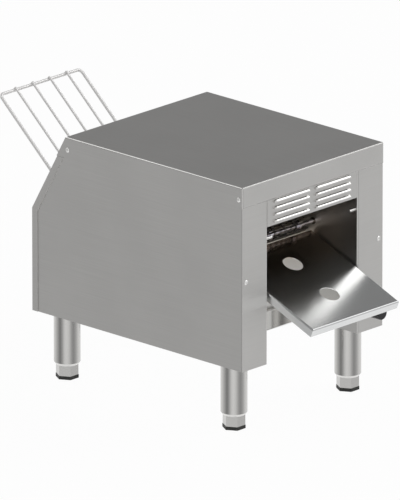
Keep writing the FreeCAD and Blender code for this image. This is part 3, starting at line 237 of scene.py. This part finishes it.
PEBBLE_CELLS = (900.0, 900.0, 900.0)
PATCH_CELLS = (40.0, 40.0, 40.0)
MOULDED_NOISE = (2.0, 0.5)
PATCH_SHADES = (0.85, 1.15)
PEBBLE_SHEEN = 0.15
PEBBLE_SHEEN_START = 0.07
PEBBLE_BUMP = 0.25

materials = {}


def make_material(name, build, metallic):
    """Makes the material whose node tree comes from build(shader, bsdf)."""
    material = bpy.data.materials.new(name)
    material.use_nodes = True
    shader = Shader(material.node_tree)
    bsdf = shader.add("ShaderNodeBsdfPrincipled")
    output = shader.add("ShaderNodeOutputMaterial")
    shader.link(bsdf.outputs["BSDF"], output.inputs["Surface"])
    bsdf.inputs["Metallic"].default_value = metallic
    build(shader, bsdf)
    materials[name] = material


def inside_shade_share(shader):
    """How far the painted shade inside reaches: not at all outside and low down."""
    place = shader.split(shader.add("ShaderNodeTexCoord").outputs["Object"])
    inward = shader.share(place["Y"], [front_plane + depth for depth in INSIDE_SHADE_INWARD])
    upward = shader.share(place["Z"], INSIDE_SHADE_UPWARD)
    return shader.number("MULTIPLY", inward, upward)


def own_normal(shader):
    """The X, Y and Z of the surface's own normal, as sockets."""
    return shader.split(shader.add("ShaderNodeNewGeometry").outputs["Normal"])


def hem_painted_shade_share(shader):
    """1 where the sheet turns under at its lower edge, which is darkened there as painted
    shade.
    """
    return shader.share(own_normal(shader)["Z"], HEM_SHADE_LIMITS)


def bend_painted_shade_share(shader):
    """1 on the bends between a sheet's top and its front, which are darkened as painted
    shade that dims their highlight.
    """
    normal = own_normal(shader)
    below_top = shader.share(normal["Z"], BEND_BELOW_TOP)
    above_front = shader.share(normal["Z"], BEND_ABOVE_FRONT)
    forward = shader.share(normal["Y"], BEND_FORWARD)
    between = shader.number("MULTIPLY", below_top, above_front)
    return shader.number("MULTIPLY", between, forward)


def flange_painted_light_share(shader):
    """1 on the flange at the left, which is lightened with painted light to be brighter
    than the sheet's face.
    """
    return shader.share(own_normal(shader)["X"], FLANGE_LIGHT_LIMITS)


# Painted shade on the hem and the bends, painted light on the flange.
HEM_SHADE = (hem_painted_shade_share, HEM_SHADE_FACTOR)
BEND_SHADE = (bend_painted_shade_share, BEND_SHADE_FACTOR)
FLANGE_LIGHT = (flange_painted_light_share, FLANGE_LIGHT_FACTOR)


def plain_steel(name, tone, rough, grain, depth=0.03, inside_shade=None, fold_shading=(), metallic=1.0):
    """Steel of one tone with parallel scratches, soft smudges and an uneven sheen.

    The depth says how much the scratches change the tone. The inside shade is a tint of
    painted shade deeper inside and an extra roughness; the fold shading is pairs of a
    share and a tone factor that paints shade or light on a fold.
    """

    def build(shader, bsdf):
        scratches = shader.stretched_noise(GRAINS[grain], *SCRATCH_NOISE)
        smudges = shader.stretched_noise(SMUDGE_CELLS, *SMUDGE_NOISE)
        streaks = shader.remap(scratches, NOISE_LIMITS, 1.0 - depth, 1.0 + depth)
        cloud = shader.remap(smudges, NOISE_LIMITS, 1.0 - SMUDGE_DEPTH, 1.0 + SMUDGE_DEPTH)
        shade = shader.number("MULTIPLY", streaks, cloud)
        grey = shader.add("ShaderNodeCombineColor")
        for socket in grey.inputs:
            shader.link(shade, socket)
        sheen = shader.number("MULTIPLY", scratches, UNEVEN_SHEEN)
        uneven = shader.number("ADD", sheen, rough - UNEVEN_SHEEN / 2)
        ground = tone
        # Painted shade deeper inside: the tone darkens and browns there, and the steel
        # gets rougher.
        if inside_shade:
            inside_shading = inside_shade_share(shader)
            shade_tint, dulled = inside_shade
            inside_shaded = [value * share for value, share in zip(tone, shade_tint)]
            ground = shader.blend(inside_shading, tone, inside_shaded)
            extra = shader.number("MULTIPLY", inside_shading, dulled)
            uneven = shader.number("ADD", uneven, extra)
        # Painted light on the folds: each share scales the tone into its painted shade or
        # painted highlight.
        for fold_shading_share, factor in fold_shading:
            fold_shaded_tone = [value * factor for value in tone]
            ground = shader.blend(fold_shading_share(shader), ground, fold_shaded_tone)
        scratched = shader.blend(1.0, ground, grey.outputs[0], "MULTIPLY")
        shader.link(scratched, bsdf.inputs["Base Color"])
        shader.link(uneven, bsdf.inputs["Roughness"])
        shader.raise_bumps(bsdf, scratches, SCRATCH_BUMP)

    make_material(name, build, metallic)


def moulded(name, tone, rough):
    """Moulded plastic or rubber: a fine grain and a slightly uneven shine."""

    def build(shader, bsdf):
        pebbles = shader.stretched_noise(PEBBLE_CELLS, *MOULDED_NOISE)
        patches = shader.stretched_noise(PATCH_CELLS, *MOULDED_NOISE)
        dark, light = [[value * shade for value in tone] for shade in PATCH_SHADES]
        shader.link(shader.blend(patches, dark, light), bsdf.inputs["Base Color"])
        sheen = shader.number("MULTIPLY", pebbles, PEBBLE_SHEEN)
        uneven = shader.number("ADD", sheen, rough - PEBBLE_SHEEN_START)
        shader.link(uneven, bsdf.inputs["Roughness"])
        shader.raise_bumps(bsdf, pebbles, PEBBLE_BUMP)

    make_material(name, build, 0.0)


STEEL = srgb(205, 204, 202)
BRIGHT_STEEL = srgb(222, 222, 220)
INNER_STEEL = srgb(240, 239, 237)
CHUTE_STEEL = srgb(204, 205, 205)

# The cover gets painted shade on its hem and its bends.
plain_steel("cover_steel", STEEL, 0.30, "Y", fold_shading=(HEM_SHADE, BEND_SHADE))
plain_steel("panel_steel", STEEL, 0.30, "Y")
# The walls inside get a slight painted shade deep in the mouth, and rougher steel there.
plain_steel("front_steel", STEEL, 0.30, "X", depth=0.02, inside_shade=WALL_INSIDE_SHADE)
plain_steel("inner_steel", INNER_STEEL, 0.30, "Y", depth=0.02, inside_shade=WALL_INSIDE_SHADE)
plain_steel("tray_steel", srgb(214, 213, 210), 0.08, "Z")
# The chute gets a strong painted shade near the belt, painted shade on its front bend and
# painted light on its flange.
plain_steel("chute_steel", CHUTE_STEEL, 0.19, "Y", 0.02, CHUTE_INSIDE_SHADE, (BEND_SHADE, FLANGE_LIGHT))
plain_steel("pin_steel", STEEL, 0.36, "X")
plain_steel("wire_steel", srgb(230, 229, 228), 0.50, "X", metallic=0.4)
# The belt's steel is darkened as painted shade, for the unlit inside of the toaster that
# the chute mirrors.
plain_steel("belt_steel", srgb(108, 104, 100), 0.34, "X")
plain_steel("shaft_steel", srgb(205, 202, 208), 0.24, "X")
plain_steel("chain_steel", srgb(130, 128, 124), 0.35, "Y")
plain_steel("bushing_brass", srgb(120, 112, 100), 0.38, "X")
plain_steel("heater_steel", srgb(120, 108, 100), 0.45, "X")
plain_steel("screw_steel", BRIGHT_STEEL, 0.34, "X")
plain_steel("leg_steel", STEEL, 0.16, "Z", depth=0.02)
plain_steel("foot_steel", STEEL, 0.22, "X")
moulded("motor_paint", srgb(44, 44, 46), 0.40)
moulded("ceramic", srgb(232, 228, 218), 0.30)
moulded("black_plastic", srgb(30, 30, 31), 0.45)
moulded("knob_plastic", srgb(18, 18, 20), 0.28)
moulded("pale_plastic", srgb(220, 218, 208), 0.45)
moulded("foot_rubber", srgb(34, 35, 33), 0.60)


def dress(obj, slot):
    obj.data.materials.clear()
    obj.data.materials.append(materials[slot])


for entry in frame["record"]["subparts"]:
    dress(nodes[entry["node"]], entry["material_slot"])


def new_piece(name, mesh, body, slot):
    """A visible mesh that rides on a body and takes one of the record's finishes."""
    obj = bpy.data.objects.new(name, mesh)
    bpy.context.scene.collection.objects.link(obj)
    dress(obj, slot)
    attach(obj, body)
    return obj


def to_piece(name, bm, body, slot, smooth=True):
    mesh = bpy.data.meshes.new(name)
    bmesh.ops.recalc_face_normals(bm, faces=bm.faces)
    bm.to_mesh(mesh)
    bm.free()
    for polygon in mesh.polygons:
        polygon.use_smooth = smooth
    return new_piece(name, mesh, body, slot)


def middle(low, high):
    return (low + high) / 2


NO_LENGTH = 1e-6


def tube(bm, points, radius, sides):
    """Adds a round tube along a line of points, closed at both ends."""
    rings = []
    count = len(points)
    for index, point in enumerate(points):
        ahead = points[min(index + 1, count - 1)] - point
        behind = point - points[max(index - 1, 0)]
        along = ahead.normalized() + behind.normalized()
        if along.length < NO_LENGTH:
            along = ahead + behind
        turn = Vector((0, 0, 1)).rotation_difference(along.normalized()).to_matrix()
        ring = []
        for step in range(sides):
            angle = 2 * math.pi * step / sides
            spoke = turn @ Vector((math.cos(angle) * radius, math.sin(angle) * radius, 0))
            ring.append(bm.verts.new(point + spoke))
        rings.append(ring)
    for first, second in zip(rings, rings[1:]):
        shift = min(range(sides), key=lambda k: (second[k].co - first[0].co).length)
        for step in range(sides):
            after = (step + 1) % sides
            bm.faces.new(
                (
                    first[step],
                    first[after],
                    second[(after + shift) % sides],
                    second[(step + shift) % sides],
                )
            )
    bm.faces.new(list(reversed(rings[0])))
    bm.faces.new(rings[-1])


# The wire belt: flat wires that hook into the next one, bent round both ends of the loop.

WIRE_RADIUS = 1.0 * MM
WIRE_SIDES = 8
WIRE_PITCH = 12.7 * MM
WIRE_SPACES = 7
HOOK_SHARE = 0.22
HOOK_REACH = 1.08


def belt_length(low, high):
    radius = (high.z - low.z) / 2 - WIRE_RADIUS
    run = (high.y - low.y) - 2 * (radius + WIRE_RADIUS)
    return 2 * run + 2 * math.pi * radius


def belt_spot(along, low, high):
    """The point this far round the belt's centre line."""
    radius = (high.z - low.z) / 2 - WIRE_RADIUS
    level = middle(low.z, high.z)
    front_y = low.y + radius + WIRE_RADIUS
    rear_y = high.y - radius - WIRE_RADIUS
    run = rear_y - front_y
    half_turn = math.pi * radius
    along %= belt_length(low, high)
    if along < run:
        return Vector((0, front_y + along, level + radius))
    along -= run
    if along < half_turn:
        angle = along / radius
        out = Vector((0, math.sin(angle), math.cos(angle)))
        return Vector((0, rear_y, level)) + out * radius
    along -= half_turn
    if along < run:
        return Vector((0, rear_y - along, level - radius))
    angle = (along - run) / radius
    out = Vector((0, -math.sin(angle), -math.cos(angle)))
    return Vector((0, front_y, level)) + out * radius


def strand_points(number, count, low, high):
    """One wire across the belt, stepping back to hook round the wire behind it."""
    pitch = belt_length(low, high) / count
    here = number * pitch
    behind = here + pitch * HOOK_REACH
    left = low.x + WIRE_RADIUS
    space = (high.x - low.x - 2 * WIRE_RADIUS) / WIRE_SPACES
    hook = space * HOOK_SHARE
    spots = []
    for index in range(WIRE_SPACES):
        start = left + index * space
        spots.append((start, here))
        spots.append((start + space - hook, here))
        if index < WIRE_SPACES - 1:
            spots.append((start + space - hook, behind))
            spots.append((start + space - hook / 2, behind))
            spots.append((start + space - hook / 2, here))
    spots.append((left + WIRE_SPACES * space, here))
    points = []
    for x, along in spots:
        spot = belt_spot(along, low, high)
        spot.x = x
        points.append(spot)
    return points


def make_belt():
    low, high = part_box("conveyor_belt")
    count = round(belt_length(low, high) / WIRE_PITCH)
    bm = bmesh.new()
    for number in range(count):
        tube(bm, strand_points(number, count, low, high), WIRE_RADIUS, WIRE_SIDES)
    mesh = bpy.data.meshes.new("wire_belt")
    bm.to_mesh(mesh)
    bm.free()
    for polygon in mesh.polygons:
        polygon.use_smooth = True
    belt = new_piece("wire_belt", mesh, "casing", "belt_steel")
    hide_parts("conveyor_belt")


make_belt()


# Domed screws with a cross recess, in the place of each plain screw.

SAME_SPOT = 0.001 * MM
SCREW_RADIUS = 4.8 * MM
SCREW_RISE = 2.6 * MM
SHANK_RADIUS = 2.0 * MM
SHANK_SIDES = 16
CROSS_REACH = 0.60
CROSS_HALF = 0.13
CROSS_DEPTH = 0.7 * MM
DOME_RINGS = 16
DOME_STEPS = 64


def islands(node):
    """The lowest and highest corners of each separate solid of a CAD node."""
    bm = bmesh.new()
    bm.from_mesh(nodes[node].data)
    bmesh.ops.remove_doubles(bm, verts=bm.verts, dist=SAME_SPOT)
    unseen = set(bm.verts)
    boxes = []
    while unseen:
        start = min(unseen, key=lambda vertex: vertex.index)
        queue = [start]
        unseen.discard(start)
        spots = []
        while queue:
            vertex = queue.pop()
            spots.append(vertex.co.copy())
            for edge in vertex.link_edges:
                other = edge.other_vert(vertex)
                if other in unseen:
                    unseen.discard(other)
                    queue.append(other)
        low = Vector([min(spot[axis] for spot in spots) for axis in range(3)])
        high = Vector([max(spot[axis] for spot in spots) for axis in range(3)])
        boxes.append((low, high))
    bm.free()
    return boxes


def crossed_dome(bm, centre, out):
    """A domed head on a polar grid, pressed in where the driver's cross goes."""
    side = Vector((0, 0, 1)).cross(out)
    ball = (SCREW_RADIUS**2 + SCREW_RISE**2) / (2 * SCREW_RISE)
    rings = []
    for ring in range(1, DOME_RINGS + 1):
        reach = SCREW_RADIUS * ring / DOME_RINGS
        spots = []
        for step in range(DOME_STEPS):
            angle = 2 * math.pi * step / DOME_STEPS
            across, up = reach * math.cos(angle), reach * math.sin(angle)
            height = math.sqrt(ball**2 - reach**2) - (ball - SCREW_RISE)
            narrow = min(abs(across), abs(up)) < CROSS_HALF * SCREW_RADIUS
            if narrow and reach < CROSS_REACH * SCREW_RADIUS:
                height -= CROSS_DEPTH
            spot = centre + side * across + Vector((0, 0, up)) + out * height
            spots.append(bm.verts.new(spot))
        rings.append(spots)
    tip = bm.verts.new(centre + out * (SCREW_RISE - CROSS_DEPTH))
    for step in range(DOME_STEPS):
        after = (step + 1) % DOME_STEPS
        bm.faces.new((tip, rings[0][step], rings[0][after]))
        for inner, outer in zip(rings, rings[1:]):
            bm.faces.new((inner[step], outer[step], outer[after], inner[after]))
    bm.faces.new(rings[-1])


def make_screws(node, axis):
    """Screws along X stick out to both sides, screws along Y to the front."""
    bm = bmesh.new()
    for low, high in islands(node):
        centre = middle(low, high)
        sign = -1.0 if axis == 1 or centre[axis] < 0 else 1.0
        out = Vector([sign if index == axis else 0.0 for index in range(3)])
        outer = low[axis] if sign < 0 else high[axis]
        inner = high[axis] if sign < 0 else low[axis]
        face = centre.copy()
        face[axis] = outer - sign * SCREW_RISE
        end = centre.copy()
        end[axis] = inner
        crossed_dome(bm, face, out)
        tube(bm, [face, end], SHANK_RADIUS, SHANK_SIDES)
    piece = to_piece(f"crossed_{node}", bm, "casing", "screw_steel")
    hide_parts(node)


make_screws("cover_screws", 0)
make_screws("stile_screws", 1)


# Pointer lines on the two knobs.

POINTER_LENGTH = 10.0 * MM
POINTER_WIDTH = 1.6 * MM
POINTER_RISE = 0.35 * MM
KNOB_ROUND = 1.5 * MM


def make_pointer(name):
    low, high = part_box(f"{name}_knob")
    x = middle(low.x, high.x)
    top_z = high.z - KNOB_ROUND
    bm = bmesh.new()
    bmesh.ops.create_cube(
        bm,
        size=1.0,
        matrix=Matrix.Translation((x, low.y, top_z - POINTER_LENGTH / 2))
        @ Matrix.Diagonal((POINTER_WIDTH, 2 * POINTER_RISE, POINTER_LENGTH, 1.0)),
    )
    bmesh.ops.bevel(
        bm, geom=bm.edges[:], offset=POINTER_RISE / 2, segments=2, affect="EDGES"
    )
    to_piece(f"{name}_pointer", bm, f"{name}_control", "pale_plastic")


make_pointer("speed")
make_pointer("selector")


# Weld beads where the rack's wires and bars meet. The rack's numbers repeat the CAD's.

RACK_ANGLE = math.radians(42)
RACK_BAR = Vector((0, 399, 489.5)) * MM
RACK_FOOT = 225 * MM
RACK_ROD = 3 * MM
RACK_HALF = 107.75 * MM
RACK_WIRES = (-67.95, -22.65, 22.65, 67.95)
RACK_WIRE = 2.4 * MM
BEAD_LENGTH = 7 * MM
BEAD_THICK = 0.45 * RACK_WIRE
BEAD_LIFT = 0.9 * RACK_ROD
CORNER_BEAD_LENGTH = 0.6 * BEAD_LENGTH
CORNER_BEAD_THICK = 0.5 * RACK_ROD
BEAD_SEGMENTS = 12
BEAD_RINGS = 8


def on_rack(x, along, above):
    """A point in the rack's plane: along its slope from the upper bar, and above it."""
    slope = Vector((0, math.cos(RACK_ANGLE), math.sin(RACK_ANGLE)))
    normal = Vector((0, -math.sin(RACK_ANGLE), math.cos(RACK_ANGLE)))
    return RACK_BAR + Vector((x, 0, 0)) + slope * along + normal * above


def bead(bm, centre, along, across, lift, length, thick):
    """A small flattened ball, longer along the seam that it fills."""
    turn = Matrix((along, across, lift)).transposed().to_4x4()
    bmesh.ops.create_uvsphere(
        bm,
        u_segments=BEAD_SEGMENTS,
        v_segments=BEAD_RINGS,
        radius=1.0,
        matrix=Matrix.Translation(centre)
        @ turn
        @ Matrix.Diagonal((length / 2, thick, thick, 1.0)),
    )


def make_beads():
    bm = bmesh.new()
    slope = on_rack(0, 1, 0) - on_rack(0, 0, 0)
    lift = on_rack(0, 0, 1) - on_rack(0, 0, 0)
    across = Vector((1, 0, 0))
    for x in RACK_WIRES:
        for along in (0.0, -RACK_FOOT):
            for side in (-1, 1):
                spot = on_rack(x * MM + side * RACK_WIRE, along, BEAD_LIFT)
                bead(bm, spot, slope, across, lift, BEAD_LENGTH, BEAD_THICK)
    for side in (-1, 1):
        for push in (-1, 1):
            along = -RACK_FOOT + push * RACK_ROD
            spot = on_rack(side * (RACK_HALF - RACK_ROD), along, 0)
            bead(bm, spot, across, slope, lift, CORNER_BEAD_LENGTH, CORNER_BEAD_THICK)
    to_piece("rack_weld_beads", bm, "rack", "wire_steel")


make_beads()


# The drive chain, link by link. Its pitch and the wheels' radii repeat the CAD's.

CHAIN_PITCH = 6.35 * MM
ROLLER_RADIUS = 1.65 * MM
ROLLER_SIDES = 14
PIN_RADIUS = 0.9 * MM
PIN_SIDES = 10
DRIVEN_WHEEL = 20.3 * MM
MOTOR_WHEEL = 12.27 * MM
LINK_CORNERS = 10
LINK_HALF = 2.9 * MM
LINK_END = 0.95
LINK_WAIST = 0.7
PLATE_THICK = 0.8 * MM
OUTER_INSET = 0.6 * PLATE_THICK
INNER_INSET = 1.5 * PLATE_THICK


def chain_path():
    """A function that gives the point this far round the chain's line, and its length."""
    driven = middle(*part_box("driven_sprocket"))
    motor = middle(*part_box("motor_sprocket"))
    apart = Vector((motor.y - driven.y, motor.z - driven.z))
    bearing = math.atan2(apart.y, apart.x)
    wrap = math.acos((DRIVEN_WHEEL - MOTOR_WHEEL) / apart.length)
    straight = math.sqrt(apart.length**2 - (DRIVEN_WHEEL - MOTOR_WHEEL) ** 2)
    driven_arc = (2 * math.pi - 2 * wrap) * DRIVEN_WHEEL
    motor_arc = 2 * wrap * MOTOR_WHEEL
    total = 2 * straight + driven_arc + motor_arc

    def rim(wheel, radius, angle):
        y = wheel.y + radius * math.cos(angle)
        z = wheel.z + radius * math.sin(angle)
        return Vector((driven.x, y, z))

    def spot(along):
        along %= total
        above, below = bearing + wrap, bearing - wrap
        if along < straight:
            start = rim(driven, DRIVEN_WHEEL, above)
            return start.lerp(rim(motor, MOTOR_WHEEL, above), along / straight)
        along -= straight
        if along < motor_arc:
            return rim(motor, MOTOR_WHEEL, above - along / MOTOR_WHEEL)
        along -= motor_arc
        if along < straight:
            start = rim(motor, MOTOR_WHEEL, below)
            return start.lerp(rim(driven, DRIVEN_WHEEL, below), along / straight)
        along -= straight
        return rim(driven, DRIVEN_WHEEL, below - along / DRIVEN_WHEEL)

    return spot, total


def link_plate(bm, first, second, x):
    """A plate with round ends and a waist, from one pin to the next."""
    along = (second - first).normalized()
    up = Vector((1, 0, 0)).cross(along)
    rim = []
    for end, centre, waist in ((0, second, LINK_WAIST), (1, first, -LINK_WAIST)):
        for corner in range(LINK_CORNERS + 1):
            angle = math.pi * (corner / LINK_CORNERS - 0.5 + end)
            way = along * math.cos(angle) + up * math.sin(angle)
            rim.append(centre + way * LINK_HALF * LINK_END)
        rim.append(middle(first, second) + up * LINK_HALF * waist)
    faces = [Vector((x + half, 0, 0)) for half in (-PLATE_THICK / 2, PLATE_THICK / 2)]
    left, right = [[bm.verts.new(spot + shift) for spot in rim] for shift in faces]
    bm.faces.new(list(reversed(left)))
    bm.faces.new(right)
    for index in range(len(rim)):
        after = (index + 1) % len(rim)
        bm.faces.new((left[index], left[after], right[after], right[index]))


def make_chain():
    low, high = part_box("drive_chain")
    half_width = (high.x - low.x) / 2
    reach = Vector((half_width, 0, 0))
    inside = Vector((half_width - 2 * PLATE_THICK, 0, 0))
    spot, total = chain_path()
    count = 2 * round(total / CHAIN_PITCH / 2)
    pins = [spot(number * total / count) for number in range(count)]
    bm = bmesh.new()
    for number, pin in enumerate(pins):
        following = pins[(number + 1) % count]
        tube(bm, [pin - reach, pin + reach], PIN_RADIUS, PIN_SIDES)
        tube(bm, [pin - inside, pin + inside], ROLLER_RADIUS, ROLLER_SIDES)
        inset = OUTER_INSET if number % 2 else INNER_INSET
        for side in (-1, 1):
            link_plate(bm, pin, following, side * (half_width - inset))
    piece = to_piece("chain_links", bm, "casing", "chain_steel", smooth=False)
    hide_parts("drive_chain")


make_chain()


# Ribs on the cable gland's cap, and fins on the motor. The cap's and the motor's own
# numbers repeat the CAD's.

CAP_RADIUS = 9.5 * MM
CAP_LENGTH = 10 * MM
RIB_ENDS = (0.92 * CAP_LENGTH, 0.12 * CAP_LENGTH)
RIB_RADIUS = 0.6 * MM
RIB_SIDES = 8
RIB_COUNT = 18
MOTOR_RADIUS = 22 * MM
GEARBOX_LENGTH = 18 * MM
FIN_HALF = 0.6 * MM
FIN_RISE = 1.6 * MM
FIN_COUNT = 5
FIN_SIDES = 64


def make_gland_ribs():
    low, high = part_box("cable_gland")
    centre = middle(low, high)
    bm = bmesh.new()
    for number in range(RIB_COUNT):
        angle = 2 * math.pi * number / RIB_COUNT
        x = centre.x + CAP_RADIUS * math.cos(angle)
        z = centre.z + CAP_RADIUS * math.sin(angle)
        ends = [Vector((x, high.y - inward, z)) for inward in RIB_ENDS]
        tube(bm, ends, RIB_RADIUS, RIB_SIDES)
    to_piece("gland_ribs", bm, "casing", "black_plastic")


def make_motor_fins():
    low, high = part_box("gear_motor")
    centre = middle(low, high)
    can_start = low.x + GEARBOX_LENGTH
    pitch = (high.x - can_start) / FIN_COUNT
    turn = Matrix.Rotation(math.pi / 2, 4, "Y")
    bm = bmesh.new()
    for number in range(FIN_COUNT):
        x = can_start + (number + 0.5) * pitch
        bmesh.ops.create_cone(
            bm,
            cap_ends=True,
            segments=FIN_SIDES,
            radius1=MOTOR_RADIUS + FIN_RISE,
            radius2=MOTOR_RADIUS + FIN_RISE,
            depth=2 * FIN_HALF,
            matrix=Matrix.Translation((x, centre.y, centre.z)) @ turn,
        )
    to_piece("motor_fins", bm, "casing", "motor_paint", smooth=False)


make_gland_ribs()
make_motor_fins()


# Stage, light and camera.

FLOOR_HALF = 9.0
FLOOR_DROP = 0.3 * MM
FLOOR_TONE = 0.86
FLOOR_GLOW = 0.96
WORLD_STRENGTH = 0.62
SOFTBOX_AIM = (0.12, -0.30, 0.35)
SOFTBOX_DIRECTION = (0.62, -0.52, 0.59)
SOFTBOX_DISTANCE = 3.4
SOFTBOX_WIDTH = 2.4
SOFTBOX_HEIGHT = 1.8
SOFTBOX_RADIANCE = 2.0

# What polished metal mirrors. Brightness round the horizon, by degrees from +X towards +Y.
STUDIO_RING = (
    (0, 0.95),
    (43, 0.90),
    (75, 0.92),
    (97, 0.87),
    (120, 0.66),
    (137, 0.50),
    (161, 0.25),
    (180, 0.45),
    (198, 0.78),
    (215, 0.92),
    (240, 0.79),
    (258, 0.52),
    (277, 0.36),
    (295, 0.45),
    (317, 0.67),
    (331, 0.84),
    (360, 0.95),
)
# The ceiling, from its front to its back, and the floor right below.
STUDIO_FRONT = 1.0
STUDIO_BACK = 0.29
STUDIO_FLOOR = 1.15
# Where the ceiling fades from front to back, by Y, and where the floor gives way to the
# ring and the ring to the ceiling, by Z of the direction looked in.
CEILING_LIMITS = (-0.50, 0.25)
FLOOR_LIMITS = (-0.65, -0.42)
RING_LIMITS = (-0.10, 0.15)
# Bright panels: direction, angle of the even part and of the outer edge, brightness.
STUDIO_PANELS = (
    ((0.68, -0.34, 0.65), 10, 24, 2.4),
    ((-0.31, 0.65, 0.69), 14, 28, 1.25),
)


def make_floor():
    """A white ground for the camera, matt for the light and unseen in the steel."""
    mesh = bpy.data.meshes.new("floor")
    corners = [(-1, -1), (1, -1), (1, 1), (-1, 1)]
    spots = [(x * FLOOR_HALF, y * FLOOR_HALF, -FLOOR_DROP) for x, y in corners]
    mesh.from_pydata(spots, [], [(0, 1, 2, 3)])
    floor = bpy.data.objects.new("floor", mesh)
    bpy.context.scene.collection.objects.link(floor)
    material = bpy.data.materials.new("floor")
    material.use_nodes = True
    shader = Shader(material.node_tree)
    diffuse = shader.add("ShaderNodeBsdfDiffuse")
    diffuse.inputs["Color"].default_value = colour(FLOOR_TONE)
    glow = shader.add("ShaderNodeEmission")
    glow.inputs["Color"].default_value = colour(1.0)
    glow.inputs["Strength"].default_value = 1.0
    rays = shader.add("ShaderNodeLightPath")
    seen = shader.number("MULTIPLY", rays.outputs["Is Camera Ray"], FLOOR_GLOW)
    lit = shader.mix_shaders(seen, diffuse.outputs[0], glow.outputs[0])
    clear = shader.add("ShaderNodeBsdfTransparent")
    surface = shader.mix_shaders(rays.outputs["Is Glossy Ray"], lit, clear.outputs[0])
    output = shader.add("ShaderNodeOutputMaterial")
    shader.link(surface, output.inputs["Surface"])
    mesh.materials.append(material)


def make_world():
    """White behind the object, an even light on it, and the studio that steel mirrors."""
    world = bpy.data.worlds.new("studio")
    bpy.context.scene.world = world
    world.use_nodes = True
    shader = Shader(world.node_tree)
    rays = shader.add("ShaderNodeLightPath")
    place = shader.add("ShaderNodeTexCoord").outputs["Generated"]
    x, y, z = shader.split(place)
    minus_x, minus_y = [shader.number("MULTIPLY", part, -1.0) for part in (x, y)]
    turn = shader.number("ARCTAN2", minus_y, minus_x)
    round_share = shader.number("ADD", shader.number("DIVIDE", turn, 2 * math.pi), 0.5)
    stops = [(degrees / 360, tone) for degrees, tone in STUDIO_RING]
    ring = shader.ramp(round_share, stops)
    ceiling = shader.remap(y, CEILING_LIMITS, STUDIO_FRONT, STUDIO_BACK)
    sides = shader.blend(shader.share(z, FLOOR_LIMITS), STUDIO_FLOOR, ring)
    studio = shader.blend(shader.share(z, RING_LIMITS), sides, ceiling)
    for direction, even, edge, gain in STUDIO_PANELS:
        towards = shader.add("ShaderNodeVectorMath", operation="DOT_PRODUCT")
        shader.link(place, towards.inputs[0])
        towards.inputs[1].default_value = Vector(direction).normalized()
        limits = [math.cos(math.radians(angle)) for angle in (edge, even)]
        panel = shader.remap(towards.outputs["Value"], limits, 0.0, gain)
        studio = shader.number("ADD", studio, panel)
    dim = shader.blend(rays.outputs["Is Glossy Ray"], WORLD_STRENGTH, studio)
    through = rays.outputs["Is Transmission Ray"]
    seen = shader.number("ADD", rays.outputs["Is Camera Ray"], through, clamp=True)
    strength = shader.blend(seen, dim, 1.0)
    background = shader.add("ShaderNodeBackground")
    background.inputs["Color"].default_value = colour(1.0)
    shader.link(strength, background.inputs["Strength"])
    output = shader.add("ShaderNodeOutputWorld")
    shader.link(background.outputs[0], output.inputs["Surface"])


def make_key_light():
    """A rectangular lamp with its radiance over the whole face, unseen in the steel."""
    light = bpy.data.lights.new("key_light", "AREA")
    light.shape = "RECTANGLE"
    light.size, light.size_y = SOFTBOX_WIDTH, SOFTBOX_HEIGHT
    light.energy = SOFTBOX_RADIANCE * math.pi * SOFTBOX_WIDTH * SOFTBOX_HEIGHT
    lamp = bpy.data.objects.new("key_light", light)
    bpy.context.scene.collection.objects.link(lamp)
    outwards = Vector(SOFTBOX_DIRECTION).normalized()
    lamp.location = Vector(SOFTBOX_AIM) + outwards * SOFTBOX_DISTANCE
    lamp.rotation_mode = "QUATERNION"
    lamp.rotation_quaternion = outwards.to_track_quat("Z", "Y")
    lamp.visible_glossy = False


def make_camera():
    azimuth = math.radians(AZIMUTH)
    elevation = math.radians(ELEVATION)
    back = Vector(
        (
            math.sin(azimuth) * math.cos(elevation),
            -math.cos(azimuth) * math.cos(elevation),
            math.sin(elevation),
        )
    )
    right = Vector((math.cos(azimuth), math.sin(azimuth), 0))
    up = back.cross(right)
    cover_low, cover_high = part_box("top_cover")
    corner_x = middle(cover_low.x, cover_high.x) - COVER_HALF
    corner = Vector((corner_x, cover_low.y, cover_high.z))
    aim = corner + right * ((PHOTO_WIDTH_PX / 2 - CORNER_X_PX) * METRES_PER_PX)
    aim = aim + up * ((CORNER_Y_PX - PHOTO_HEIGHT_PX / 2) * METRES_PER_PX)
    data = bpy.data.cameras.new("camera")
    data.lens = LENS
    data.sensor_width = SENSOR
    distance = PHOTO_HEIGHT_PX * METRES_PER_PX * LENS / SENSOR
    data.clip_start = distance / CLIP_START_DIVISOR
    data.clip_end = distance * CLIP_END_FACTOR
    camera = bpy.data.objects.new("camera", data)
    bpy.context.scene.collection.objects.link(camera)
    camera.location = aim + back * distance
    camera.rotation_mode = "QUATERNION"
    camera.rotation_quaternion = (-back).to_track_quat("-Z", "Y")
    bpy.context.scene.camera = camera


make_floor()
make_world()
make_key_light()
make_camera()

bpy.context.scene.view_settings.view_transform = "Standard"
